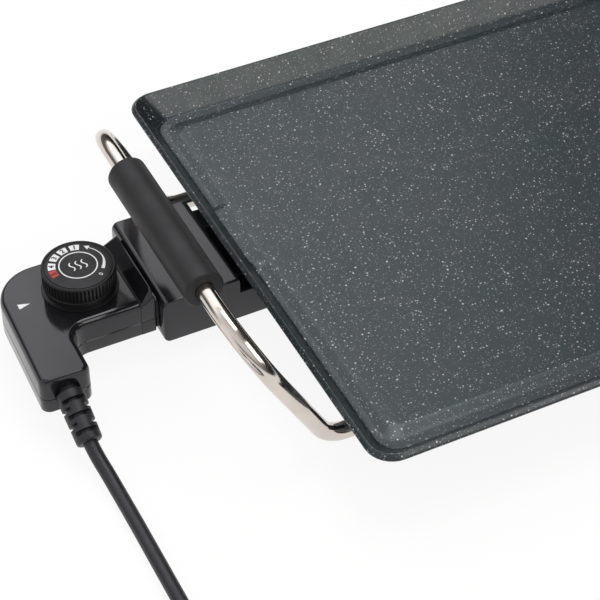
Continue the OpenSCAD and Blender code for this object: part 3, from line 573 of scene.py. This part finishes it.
# %% Bosses
FOOT_SCREW_X, FOOT_SCREW_Y = 72, 97.5
STRAP_NEAR, STRAP_FAR, STRAP_Y = 172, 336, 46.65
NECK_SCREW_X, NECK_SCREW_Y = 12, 7.6
POCKET_Z, POCKET_CORNER = 21.5, 1.2
foot_boss = [(2.05, 26.5), (4.6, 26.5), (5, 26.9), (5, 28.7), (5.6, 29.5), (2.05, 29.6), (2.05, 26.5)]
strap_boss = [(1.55, 22.5), (4.2, 22.5), (4.5, 22.8), (4.5, 28.6), (5.2, 29.5), (1.55, 29.6), (1.55, 22.5)]
neck_boss = [(1.75, 28.3), (3.6, 28.3), (3.8, 28.5), (3.8, 29.6), (1.75, 29.6), (1.75, 28.3)]
boss_sets = [
    (foot_boss, (FOOT_SCREW_X, PLATE_LENGTH - FOOT_SCREW_X), (-FOOT_SCREW_Y, FOOT_SCREW_Y), 32),
    (strap_boss, (STRAP_NEAR, STRAP_FAR), (-STRAP_Y, STRAP_Y), 32),
    (neck_boss, (NECK_SCREW_X,), (SOCKET_Y - NECK_SCREW_Y, SOCKET_Y + NECK_SCREW_Y), 28),
]
bm = bmesh.new()
for profile, boss_x, boss_y, sides in boss_sets:
    for x in boss_x:
        for y in boss_y:
            turned(bm, profile, at(x, y, 0), Z_AXIS, sides)
pocket = [
    outline(bm, at(x, SOCKET_Y, POCKET_Z), Y_AXIS, Z_AXIS, half, high, POCKET_CORNER, 4)
    for x, half, high in ((30, 6.1, 8.0), (30.4, 6.5, 8.45), (49.6, 6.5, 8.45), (50, 6.1, 8.0))
]
lofted(bm, pocket)
make_piece(bm, "plate_bosses", STONE, "griddle")

# %% [markdown]
# ## Handles
# Each handle is one bright nickel rod, bent four times: out of the foot, up, across for the grip, and back
# down. The upper bends are wide, so that a hand finds no sharp corner. Pushing a circle along and spinning
# it at the corners gives one clean tube without joints. The right handle is the same list of corners,
# measured from the other edge.

# %% Handles and grips
TAIL_X, TAIL_Y, TAIL_Z = 78, 88.3, 10
FRONT_KNEE_X, BACK_KNEE_X = 2.5, -2.5
BAR_X, BAR_Y, BAR_Z = -37, 89, 81
ROD_R, LOW_BEND, HIGH_BEND = 4.3, 15, 32
GRIP_Y = -3
handle_corners = [
    (TAIL_X, -TAIL_Y, TAIL_Z), (FRONT_KNEE_X, -TAIL_Y, TAIL_Z), (BAR_X, -BAR_Y, BAR_Z),
    (BAR_X, BAR_Y, BAR_Z), (BACK_KNEE_X, TAIL_Y, TAIL_Z), (TAIL_X, TAIL_Y, TAIL_Z),
]
handle_bends = [LOW_BEND, HIGH_BEND, HIGH_BEND, LOW_BEND]
grip_end = [(4.35, 43.2), (4.5, 43.9), (4.9, 44), (8.4, 44), (8.95, 43.8), (9.3, 43.3), (9.35, 42.4)]
near_grip_end = [(r, -h) for r, h in grip_end]
grip_profile = near_grip_end + grip_end[::-1] + near_grip_end[:1]
for side, place_x in (("left", lambda x: x), ("right", lambda x: PLATE_LENGTH - x)):
    bm = bmesh.new()
    bent_rod(bm, [at(place_x(x), y, z) for x, y, z in handle_corners], handle_bends, ROD_R)
    make_piece(bm, side + "_handle_rod", NICKEL, "griddle", [side + "_handle"])
    bm = bmesh.new()
    turned(bm, grip_profile, at(place_x(BAR_X), GRIP_Y, BAR_Z), Y_AXIS, 64)
    make_piece(bm, side + "_grip_sleeve", GRIP, "griddle", [side + "_grip"])

# %% [markdown]
# ## Socket
# A gloss black block hangs on the plate's short side. Its collar takes the controller's nose, and the pins
# stand inside. One loft runs from the back of the mouth out to the collar, over the block and on under the
# rim as a lower apron. A second, smaller loft is the neck that is screwed to the plate.

# %% Socket housing
BLOCK_Y = 29.8
# Each outline: place along X, half width, half height, corner radius and height of its middle.
collar_rings = [
    (-9, 21, 8.25, 1.2, 23.05), (-9.4, 21, 8.25, 1.2, 23.05), (-40.2, 21, 8.25, 1.2, 23.05),
    (-40.65, 21.4, 8.65, 1.6, 23.05), (-40.7, 22.1, 9.2, 1.8, 23.05), (-40.4, 22.5, 9.55, 2.0, 23.05),
    (-39.65, 22.5, 9.55, 2.0, 23.05), (-39.55, 22.9, 9.7, 2.0, 23.0),
]
block_rings = [
    (-39.5, 31.4, 9.8, 1.4, 22.2), (-39.3, 31.6, 10.9, 1.5, 22.3), (-38.7, 31.75, 11.8, 1.5, 22.4),
    (-37.7, 31.8, 12.5, 1.1, 22.5), (-36.5, 31.8, 12.75, 1.0, 22.55), (-1.1, 31.8, 12.75, 1.0, 22.55),
    (-0.55, 31.8, 12.55, 1.0, 22.35), (-0.4, 31.8, 12.0, 1.0, 21.8), (-0.35, 31.8, 8.65, 1.0, 18.45),
    (13.4, 31.8, 8.6, 1.2, 18.4), (14, 31.2, 8.0, 1.2, 18.4),
]
neck_rings = [(-2, 19.5, 6.75, 1.4, 21.55), (23.6, 19.5, 6.75, 1.4, 21.55), (24, 19.1, 6.35, 1.2, 21.55)]


def socket_outlines(bm, y, rings):
    return [
        outline(bm, at(x, y, mid), Y_AXIS, Z_AXIS, half, high, corner, 5)
        for x, half, high, corner, mid in rings
    ]


bm = bmesh.new()
lofted(bm, socket_outlines(bm, SOCKET_Y, collar_rings) + socket_outlines(bm, BLOCK_Y, block_rings))
lofted(bm, socket_outlines(bm, SOCKET_Y, neck_rings))
make_piece(bm, "socket_block", GLOSS, "griddle", ["socket_housing"], 35)

# %% [markdown]
# ## Controller housing
# The controller is an L: a body with a large rounded far corner, and an arm that carries the cord. Six
# corner points make the flat outline, and Bevel on single corners rounds each with its own radius. Its top
# edges are not alike: the inner walls roll over widely, the arm's end is nearly square. So each half is a
# loft of such outlines, each drawn in by its own amount on every side.

# %% Outline from corner points
BODY_L, BODY_R, BODY_Y0, BODY_Y1 = -105.6, -48.3, 4.3, 52.2
ARM_L, ARM_R, ARM_END = -108.4, -83.8, -23.8
FAR_CORNER, ARM_CORNER, INNER_CORNER, SOCKET_CORNER = 20, 4.5, 8.5, 0.25
WIDE_CORNER = 8


def corner_ring(bm, corners):
    verts = [bm.verts.new(at(*point)) for point, _ in corners]
    bm.faces.new(verts)
    for vert, (_, radius) in zip(verts, corners):
        cut = bmesh.ops.bevel(
            bm, geom=[vert], offset=mm(radius), offset_type="OFFSET", affect="VERTICES",
            segments=14 if radius > WIDE_CORNER else 6, profile=0.5, material=-1,
        )
    return open_ring(bm, cut["verts"][0].link_faces[0])


def housing_ring(bm, z, left, far, right, inner, end):
    x0, x1, y1 = BODY_L + left, BODY_R - right, BODY_Y1 - far
    arm_x0, arm_x1, arm_y, near = ARM_L + left, ARM_R - inner, ARM_END + end, BODY_Y0 + inner
    return corner_ring(bm, [
        ((x1, y1, z), SOCKET_CORNER), ((x0, y1, z), FAR_CORNER - far),
        ((arm_x0, arm_y, z), ARM_CORNER - left / 2), ((arm_x1, arm_y, z), ARM_CORNER - inner / 2),
        ((arm_x1, near, z), INNER_CORNER + inner), ((x1, near, z), SOCKET_CORNER),
    ])


print("controller outline", BODY_R - BODY_L, "by", round(BODY_Y1 - ARM_END, 1))

# %% [markdown]
# A rolled edge is a quarter of an oval. Cosine and sine of one angle give how far an outline is drawn in
# and how high it lies. At the socket end a finger guard stands up from a groove. It is a loft along the
# way the controller slides, in the same mesh as the half it belongs to. A hair of space between the halves
# draws the seam.

# %% Housing halves
SEAM, SEAM_GAP, SEAM_EDGE = 21.5, 0.08, 0.25
HOUSING_LOW, HOUSING_TOP = 13.3, 33.8
ROLL = {"left": 2.6, "far": 2.4, "right": 0.9, "inner": 3.2, "end": 0.9}
ROLL_HEIGHT, ROLL_STEPS = 4, 8
LOW_ROLL, LOW_STEPS, SOCKET_SIDE = 1.2, 4, 0.2
GUARD_CORNER, GUARD_FOOT = 0.3, 1.0


def seam_rings(bm, z, step):
    return [housing_ring(bm, z, *[SEAM_EDGE] * 5), housing_ring(bm, z + step, 0, 0, 0, 0, 0)]


def guard_ring(bm, x, low, high, low_corner, high_corner, inset):
    y0, y1 = BODY_Y0 + inset, BODY_Y1 - inset
    return corner_ring(bm, [
        ((x, y0, low), low_corner), ((x, y1, low), low_corner),
        ((x, y1, high), high_corner), ((x, y0, high), high_corner),
    ])


bm = bmesh.new()
low = SEAM + SEAM_GAP
rings = seam_rings(bm, low, SEAM_EDGE)
for i in range(ROLL_STEPS + 1):
    angle = math.pi / 2 * i / ROLL_STEPS
    drawn = {key: width * (1 - math.cos(angle)) for key, width in ROLL.items()}
    rings.append(housing_ring(bm, HOUSING_TOP - ROLL_HEIGHT * (1 - math.sin(angle)), **drawn))
lofted(bm, rings)
# Each outline of the guard: place along X, top, corner radius and inset.
guard_tops = [
    (-50, 31.6, 1, 0.4), (-48.4, 31.7, 1, 0.4), (-48.27, 31.8, 1, 0), (-47.9, 32.0, 1.4, 0),
    (-47.2, 32.5, 1.8, 0), (-42.6, 37.0, 4.6, 0), (-42.15, 37.45, 4.8, 0), (-41.8, 37.7, 5, 0),
    (-41.5, 37.7, 5, 0), (-41.25, 37.5, 4.8, 0), (-41.15, 37.1, 4.6, 0.1),
]
lofted(bm, [
    guard_ring(bm, x, low, high, GUARD_CORNER, corner, inset) for x, high, corner, inset in guard_tops
])
make_piece(bm, "controller_top_half", GLOSS, "controller", ["upper_housing"], 30)

# %% Lower half
bm = bmesh.new()
high = SEAM - SEAM_GAP
rings = seam_rings(bm, high, -SEAM_EDGE)
for i in range(LOW_STEPS + 1):
    angle = math.pi / 2 * i / LOW_STEPS
    level = HOUSING_LOW + LOW_ROLL * (1 - math.sin(angle))
    drawn = LOW_ROLL * (1 - math.cos(angle))
    rings.append(housing_ring(bm, level, drawn, drawn, SOCKET_SIDE * drawn, drawn, drawn))
lofted(bm, rings)
guard_feet = ((-50, 0.4), (-48.4, 0.4), (-48.27, 0), (-41.5, 0), (-41.15, 0.35))
lofted(bm, [
    guard_ring(bm, x, HOUSING_LOW, high, GUARD_FOOT, GUARD_CORNER, inset) for x, inset in guard_feet
])
make_piece(bm, "controller_bottom_half", GLOSS, "controller", ["lower_housing"], 30)

# %% [markdown]
# The knob's setting is read at a small white mark on the housing. It is a flat face, raised by a few
# hundredths of a millimetre. The dial's print is made with the same two helpers.

# %% Pointer on the housing
PRINT_RISE = 0.04


def print_face(bm, points):
    bmesh.ops.contextual_create(bm, geom=[bm.verts.new(point) for point in points])


def raise_print(bm):
    grown = bmesh.ops.extrude_face_region(bm, geom=bm.faces[:], use_keep_orig=True)["geom"]
    bmesh.ops.translate(bm, verts=verts_of(grown), vec=Z_AXIS * mm(PRINT_RISE))


bm = bmesh.new()
print_face(bm, [at(x, y, HOUSING_TOP) for x, y in ((-99.8, 25.5), (-94, 27.2), (-99.8, 29))])
raise_print(bm)
make_piece(bm, "pointer_print", WHITE, "controller")

# %% [markdown]
# ## Knob
# A satin knob with sixty fine ribs sits on the body. The ribs come from a circle with four points to a rib,
# extruded up, with every fourth point drawn in. The rim on top is smooth, and so is the skirt below, with a
# small ring under the ribs and another at its foot.

# %% Knob
KNOB_X = -68.8
RIBS, RIB_LOW, RIB_HIGH, GROOVE_SCALE = 60, 38.9, 45.8, 0.965
bm = bmesh.new()
knob_levels = [
    (13.0, 34.1), (18.1, 34.1), (18.3, 34.25), (18.25, 34.45), (17.5, 34.5), (16.7, 34.8), (16.5, 37.3),
    (16.9, 37.5), (17.3, 37.7), (17.35, 38.1), (17.0, 38.4), (16.9, 38.7), (17.4, 38.95), (17.5, 39.3),
    (17.5, 45.6), (17.5, 46.1), (17.35, 46.7), (16.9, 47.0), (16.35, 47.0), (16.2, 46.9), (16.1, 46.5),
    (2, 46.5),
]
circle = bmesh.ops.create_circle(
    bm, cap_ends=True, radius=mm(knob_levels[0][0]), segments=RIBS * 4,
    matrix=Matrix.Translation(at(KNOB_X, SOCKET_Y, knob_levels[0][1])),
)
ring = list({e for v in circle["verts"] for e in v.link_edges})
axis_space = Matrix.Translation(-at(KNOB_X, SOCKET_Y, 0))
for (reach, level), (next_reach, next_level) in zip(knob_levels, knob_levels[1:]):
    moved, ring = grow(bm, ring)
    bmesh.ops.translate(bm, verts=moved, vec=Z_AXIS * mm(next_level - level))
    wider = next_reach / reach
    bmesh.ops.scale(bm, verts=moved, vec=(wider, wider, 1), space=axis_space)
bmesh.ops.edgeloop_fill(bm, edges=ring)


def in_groove(vert):
    flat = vert.co - at(KNOB_X, SOCKET_Y, 0)
    turn = math.atan2(flat.y, flat.x) / math.tau * RIBS
    return abs(turn - round(turn)) < 0.1 and RIB_LOW < vert.co.z * 1000 < RIB_HIGH


grooves = [v for v in bm.verts if in_groove(v)]
bmesh.ops.scale(bm, verts=grooves, vec=(GROOVE_SCALE, GROOVE_SCALE, 1), space=axis_space)
make_piece(bm, "ribbed_knob", KNOB, "knob_set", ["knob"], 28)

# %% [markdown]
# ## Dial
# The knob's top carries a thin black disc, printed with a ring, five numbered boxes, a turning arrow and a
# zero. The print is made as very thin raised shapes, so it stays sharp in close views and in the exported
# mesh. Inside the ring we put three plain heat waves.

# %% Dial disc
DISC_LOW, DISC_R, PRINT_Z = 46.5, 15.9, 47.1
disc_profile = [
    (0, DISC_LOW), (DISC_R, DISC_LOW), (DISC_R, 47.0), (15.7, PRINT_Z), (12, PRINT_Z), (6, PRINT_Z),
    (0, PRINT_Z),
]
bm = bmesh.new()
turned(bm, disc_profile, at(KNOB_X, SOCKET_Y, 0), Z_AXIS, 96)
make_piece(bm, "dial_disc", DIAL, "knob_set", ["dial_plate"])


# %% Print helpers
def dial_point(angle, reach, z=PRINT_Z):
    turn = math.radians(angle)
    return at(KNOB_X, SOCKET_Y, z) + Vector((math.cos(turn), math.sin(turn), 0)) * mm(reach)


def band(bm, from_angle, to_angle, inner, outer, steps):
    ends = [bm.verts.new(dial_point(from_angle, r)) for r in (inner, outer)]
    edge = bm.edges.new(ends)
    bmesh.ops.spin(
        bm, geom=ends + [edge], cent=at(KNOB_X, SOCKET_Y, PRINT_Z), axis=Z_AXIS,
        angle=math.radians(to_angle - from_angle), steps=steps, use_merge=to_angle - from_angle == 360,
    )


BOX_HALF, BOX_IN, BOX_OUT = 10.5, 10.55, 14.1


def setting_box(bm, middle):
    band(bm, middle - BOX_HALF, middle + BOX_HALF, BOX_IN, BOX_OUT, 6)


# %% White print: ring, boxes and arrow
RING_IN, RING_OUT = 8.6, 9.2
WHITE_BOXES, RED_BOX = [77, 105, 132, 160], 184
ARROW_FROM, ARROW_STEP, ARROW_STEPS, THIN_BY = -36, 4.15, 20, 13


def arrow_sides(i):
    angle, thin = ARROW_FROM + ARROW_STEP * i, ease(i / THIN_BY)
    return dial_point(angle, 11.0 + 1.5 * thin), dial_point(angle, 12.6 + 0.35 * thin)


bm = bmesh.new()
band(bm, 0, 360, RING_IN, RING_OUT, 96)
for middle in WHITE_BOXES:
    setting_box(bm, middle)
for i in range(ARROW_STEPS):
    inner, outer = arrow_sides(i)
    next_inner, next_outer = arrow_sides(i + 1)
    print_face(bm, [inner, outer, next_outer, next_inner])
print_face(bm, [dial_point(a, r) for a, r in ((46.5, 11.3), (46.5, 14.1), (57.5, 13.4))])
print("faces so far:", len(bm.faces))

# %% White print: heat waves
WAVE_SWING, WAVE_HALF, WAVE_HIGH, WAVE_STEPS, WAVE_APART = 0.9, 0.35, 6, 6, 3


def wave_sides(shift, t):
    x, y = shift + WAVE_SWING * math.sin(t * math.tau), WAVE_HIGH * t - WAVE_HIGH / 2
    return [at(KNOB_X + side, SOCKET_Y + y, PRINT_Z) for side in (x - WAVE_HALF, x + WAVE_HALF)]


for shift in (-WAVE_APART, 0, WAVE_APART):
    for i in range(WAVE_STEPS):
        left, right = wave_sides(shift, i / WAVE_STEPS)
        next_left, next_right = wave_sides(shift, (i + 1) / WAVE_STEPS)
        print_face(bm, [left, right, next_right, next_left])
bmesh.ops.remove_doubles(bm, verts=bm.verts[:], dist=1e-6)
raise_print(bm)
make_piece(bm, "dial_white_print", WHITE, "knob_set")

# %% Red print
bm = bmesh.new()
setting_box(bm, RED_BOX)
raise_print(bm)
make_piece(bm, "dial_red_print", RED, "knob_set")


# %% Numbers
NUMBER_THICK, NUMBER_BOLD = 0.01, 0.12
NUMBER_REACH, NUMBER_SIZE, NUMBER_Z = 12.3, 3.6, PRINT_Z + 0.045
ZERO_ANGLE, ZERO_REACH, ZERO_SIZE, ZERO_Z = -54.5, 12.4, 3.0, PRINT_Z + 0.01


def number(text, angle, reach, size, material, z):
    letters = bpy.data.curves.new("number_" + text, "FONT")
    letters.body = text
    letters.size = mm(size)
    letters.align_x = letters.align_y = "CENTER"
    letters.extrude = mm(NUMBER_THICK)
    letters.offset = mm(0 if text == "0" else NUMBER_BOLD)
    shape = bpy.data.objects.new("number_" + text, letters)
    scene.collection.objects.link(shape)
    mesh = bpy.data.meshes.new_from_object(shape.evaluated_get(bpy.context.evaluated_depsgraph_get()))
    bpy.data.objects.remove(shape)
    turn = Matrix.Rotation(math.radians(angle - 90), 4, "Z")
    mesh.transform(Matrix.Translation(dial_point(angle, reach, z)) @ turn)
    bm = bmesh.new()
    bm.from_mesh(mesh)
    bmesh.ops.remove_doubles(bm, verts=bm.verts[:], dist=1e-7)
    make_piece(bm, "dial_number_" + text, material, "knob_set")


for text, angle in zip("12345", WHITE_BOXES + [RED_BOX]):
    number(text, angle, NUMBER_REACH, NUMBER_SIZE, DIAL, NUMBER_Z)
number("0", ZERO_ANGLE, ZERO_REACH, ZERO_SIZE, WHITE, ZERO_Z)

# %% [markdown]
# ## Bend protector
# Where the cord leaves the arm, a rubber boot keeps it from kinking. It bends because slots cut into it,
# above and below, then left and right, in turn. We spin a slim cone with extra rings at each slot, and draw
# the points between those rings in towards the cord.

# %% Boot
BOOT_BORE, BOOT_R, BOOT_TAPER = 3.4, 6.6, 0.5
SLOT_HALF, SLOT_R, SLOT_SPREAD, SKIN_FROM = 1, 3.9, 58, 5
boot_start, boot_end = at(*boot_top), at(*boot_tip)
boot_line = (boot_end - boot_start).normalized()
boot_length = (boot_end - boot_start).length * 1000
slots = [(0.144, "upright"), (0.31, "level"), (0.468, "upright"), (0.65, "level"), (0.82, "upright")]
boot_profile = [(BOOT_BORE, -1.5), (6.3, -1.5), (BOOT_R, 0.2)]
for share, way in slots:
    for step in (-1.05, -0.95, 0.95, 1.05):
        along = share * boot_length + step
        boot_profile.append((BOOT_R - BOOT_TAPER * along / boot_length, along))
boot_profile += [
    (6.1, boot_length - 0.6), (5.9, boot_length - 0.1), (5.4, boot_length + 0.3), (4.6, boot_length + 0.5),
    (BOOT_BORE, boot_length + 0.5), (BOOT_BORE, -1.5),
]
bm = bmesh.new()
turned(bm, boot_profile, boot_start, boot_line, 64)
boot_up = (Z_AXIS - boot_line * boot_line.z).normalized()
for vert in bm.verts:
    along = (vert.co - boot_start).dot(boot_line)
    out = vert.co - boot_start - boot_line * along
    tilt = math.degrees(out.angle(boot_up))
    from_upright = min(tilt, 180 - tilt)
    for share, way in slots:
        aside = from_upright if way == "upright" else 90 - from_upright
        in_slot = abs(along * 1000 - share * boot_length) < SLOT_HALF and aside < SLOT_SPREAD
        if in_slot and out.length > mm(SKIN_FROM):
            vert.co -= out * (1 - mm(SLOT_R) / out.length)
sleeve = [
    (BOOT_BORE, -4), (4.9, -4), (4.9, 2.9), (6.1, 2.9), (6.1, 3.4), (BOOT_BORE, 3.4), (BOOT_BORE, -4),
]
turned(bm, sleeve, boot_start, Y_AXIS, 40)
boot = make_piece(bm, "bend_boot", CORD, "controller", ["strain_relief"], 35)

# %% [markdown]
# ## Plug and tie
# The cord ends in a round two-pin plug that lies on the coil's end, and a band holds the turns together.

# %% Plug
PLUG_RIBS, RIB_APART, RIB_GROWTH = 5, 5.4, 0.45
bm = bmesh.new()
plug_profile = [(BOOT_BORE, 0), (4.8, 0)]
for i in range(PLUG_RIBS):
    base, reach = 2 + i * RIB_APART, 5.2 + RIB_GROWTH * i
    plug_profile += [
        (reach, base), (reach + 0.1, base + 3.4), (reach - 0.7, base + 3.9), (reach - 0.7, base + 4.9),
    ]
plug_profile += [
    (7.2, 30), (9, 30.2), (12, 42), (14.4, 42.4), (14.9, 43), (16.4, 61.6), (17.8, 62.2), (18.5, 63),
    (18.5, 76.2), (17.8, 77), (3, 77), (3, 70), (0, 70),
]
turned(bm, plug_profile, at(*plug_start), Y_AXIS, 64)
plug = make_piece(bm, "round_plug", FOOT, "controller", ["plug_body"], 35)

# %% Tie
bm = bmesh.new()
tie_low, tie_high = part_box("cord_tie")
tie_mid = (tie_low + tie_high) / 2
half = (tie_high - tie_low) * 500
TIE_EDGE, TIE_CORNER = 0.0001, 3
tie_ends = [
    (tie_low.x + TIE_EDGE, 1), (tie_low.x, 0.1), (tie_high.x, 0.1), (tie_high.x - TIE_EDGE, 1),
]
tie_rings = [
    outline(
        bm, Vector((x, tie_mid.y, tie_mid.z)), Y_AXIS, Z_AXIS, half.y - inset, half.z - inset, TIE_CORNER, 5
    )
    for x, inset in tie_ends
]
lofted(bm, tie_rings + [tie_rings[0]], False, False)
tie = make_piece(bm, "coil_tie", PAD, "controller", ["cord_tie"])

# %% [markdown]
# ## Feet
# Four moulded blocks hold the handle ends and stand on rubber pads. Each is a loft of rounded outlines, a
# bit narrower at the top, as a moulding has to be to leave its tool.

# %% Feet
FOOT_X, FOOT_Y, PAD_X = 62, 89.3, 52
# Each level: height, half length, half width and corner radius.
foot_levels = [
    (3, 22.6, 13.6, 2.4), (3.6, 23.6, 14.6, 3), (4.4, 24, 15, 3.2), (25.3, 23.8, 14.8, 3.2),
    (26.1, 23.4, 14.4, 3), (26.5, 22.6, 13.6, 2.4),
]
for end, x in (("_left", FOOT_X), ("_right", PLATE_LENGTH - FOOT_X)):
    for row, y in (("foot_front", -FOOT_Y), ("foot_back", FOOT_Y)):
        bm = bmesh.new()
        lofted(bm, [outline(bm, at(x, y, z), X_AXIS, Y_AXIS, hx, hy, r, 5) for z, hx, hy, r in foot_levels])
        make_piece(bm, row + end + "_block", FOOT, "griddle", [row + end])
pad_profile = [(0, 0), (6.8, 0), (7.6, 0.3), (8, 1), (8, 3.4), (0, 3.4)]
bm = bmesh.new()
for x in (PAD_X, PLATE_LENGTH - PAD_X):
    for y in (-TAIL_Y, TAIL_Y):
        turned(bm, pad_profile, at(x, y, 0), Z_AXIS, 40)
make_piece(bm, "rubber_pads", PAD, "griddle", ["foot_pads"])

# %% [markdown]
# ## Solids that stay
# The element, pins, screws and contacts already have their true shape, so they keep their solids and only
# get a finish.

# %% Finishes for the solids
finishes = {
    "heating_element": SHEATH, "element_straps": STEEL, "strap_screws": STEEL,
    "terminal_insulators": CERAMIC, "terminal_pins": PINS, "earth_pin": PINS, "socket_screws": STEEL,
    "foot_screws": STEEL, "grub_screws": STEEL, "housing_screws": STEEL, "contact_carrier": CARRIER,
    "power_contacts": BRASS, "earth_contact": BRASS, "temperature_probe": STEEL,
    "thermostat_base": CERAMIC, "switch_blades": BRASS, "cord_clamp": CARRIER, "spindle": STEEL,
    "plug_pins": PINS, "plug_earth": PINS,
}
for node, material in finishes.items():
    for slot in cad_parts[node].material_slots:
        slot.material = material
print("solids with a finish:", len(finishes))

# %% [markdown]
# ## Floor and light
# The photograph is lit softly on white. A white floor and a bright world give that, with three large
# softboxes: one behind, which draws the pale sheen on the flat tops, one above, and a slightly warm one in
# front. The floor glows by itself where the camera or a reflection sees it, so it stays white, and a small
# share of true paper keeps a faint shadow.

# %% Floor
FLOOR_GLOW = 0.9
bm = bmesh.new()
bmesh.ops.create_grid(bm, x_segments=1, y_segments=1, size=6)
floor_mesh = bpy.data.meshes.new("floor")
bm.to_mesh(floor_mesh)
bm.free()
floor = bpy.data.objects.new("floor", floor_mesh)
scene.collection.objects.link(floor)
paper, tree, shader, place = start_material("floor_paper")
shader.inputs["Base Color"].default_value = (0.9, 0.9, 0.9, 1)
shader.inputs["Roughness"].default_value = 0.9
glow = put(tree, "Emission", {"Color": (1, 1, 1, 1), "Strength": 1.0})
rays = put(tree, "LightPath")
seen = put(tree, "Math", operation="MAXIMUM")
also = put(tree, "Math", operation="MAXIMUM")
share = put(tree, "Math", {1: FLOOR_GLOW}, operation="MULTIPLY")
blend = put(tree, "MixShader")
wire(tree, rays, "Is Camera Ray", seen, 0)
wire(tree, rays, "Is Glossy Ray", seen, 1)
wire(tree, seen, 0, also, 0)
wire(tree, rays, "Is Transmission Ray", also, 1)
wire(tree, also, 0, share, 0)
wire(tree, share, 0, blend, 0)
wire(tree, shader, 0, blend, 1)
wire(tree, glow, 0, blend, 2)
tree.links.new(blend.outputs[0], tree.nodes["Material Output"].inputs["Surface"])
floor_mesh.materials.append(paper)
print("floor laid")

# %% [markdown]
# A bright world from every side would leave the black parts grey and flat. So its light falls off to the
# right and a little overhead. Behind the part it is dim low down and brighter higher up, and in front it is
# dim near the horizon. Each of these joins two Map Ranges on the direction of view, and their product is
# the strength. A multiply-add with 1 leaves the other directions as they are.

# %% World
world = bpy.data.worlds.new("studio")
scene.world = world
world.use_nodes = True
sky = world.node_tree
back = sky.nodes["Background"]
back.inputs["Color"].default_value = (1, 1, 1, 1)
toward = put(sky, "TexCoord")
split = put(sky, "SeparateXYZ")
wire(sky, toward, "Generated", split, 0)


def fade(axis, from_low, from_high, to_low, to_high):
    limits = {"From Min": from_low, "From Max": from_high, "To Min": to_low, "To Max": to_high}
    node = put(sky, "MapRange", limits)
    wire(sky, split, axis, node, "Value")
    return node


def combine(operation, first, second):
    node = put(sky, "Math", {2: 1.0}, operation=operation)
    wire(sky, first, 0, node, 0)
    wire(sky, second, 0, node, 1)
    return node


level = combine("MULTIPLY", fade("X", -0.25, 0.55, 1.0, 0.06), fade("Z", 0.15, 0.95, 1.0, 0.72))
behind = combine("MULTIPLY_ADD", fade("Y", 0.1, 0.5, 0.0, 1.0), fade("Z", 0.35, 0.62, -0.85, 0.85))
before = combine("MULTIPLY_ADD", fade("Y", -0.5, -0.1, 1.0, 0.0), fade("Z", 0.1, 0.45, -0.7, 0.0))
total = combine("MULTIPLY", level, combine("MULTIPLY", behind, before))
wire(sky, total, 0, back, "Strength")
print("world ready")


# %% Lamps
def softbox(name, place, target, wide, high, watts, colour=(1, 1, 1)):
    lamp = bpy.data.lights.new(name, "AREA")
    lamp.shape = "RECTANGLE"
    lamp.size, lamp.size_y = wide, high
    lamp.energy = watts
    lamp.color = colour
    box = bpy.data.objects.new(name, lamp)
    scene.collection.objects.link(box)
    box.location = place
    box.rotation_mode = "QUATERNION"
    box.rotation_quaternion = (Vector(target) - Vector(place)).to_track_quat("-Z", "Y")


WARM_WHITE = (1.0, 0.95, 0.89)
softbox("back_softbox", (0.08, 1.15, 1.35), (-0.2, 0, 0.04), 1.3, 1.3, 6.0)
softbox("top_softbox", (0.15, 0.05, 2.1), (0, 0, 0.04), 1.1, 1.1, 16.0)
softbox("front_softbox", (0.75, -1.5, 1.4), (0.1, 0, 0.04), 1.4, 1.2, 16.0, WARM_WHITE)
scene.view_settings.view_transform = "Standard"
print("lamps:", len(bpy.data.lights))
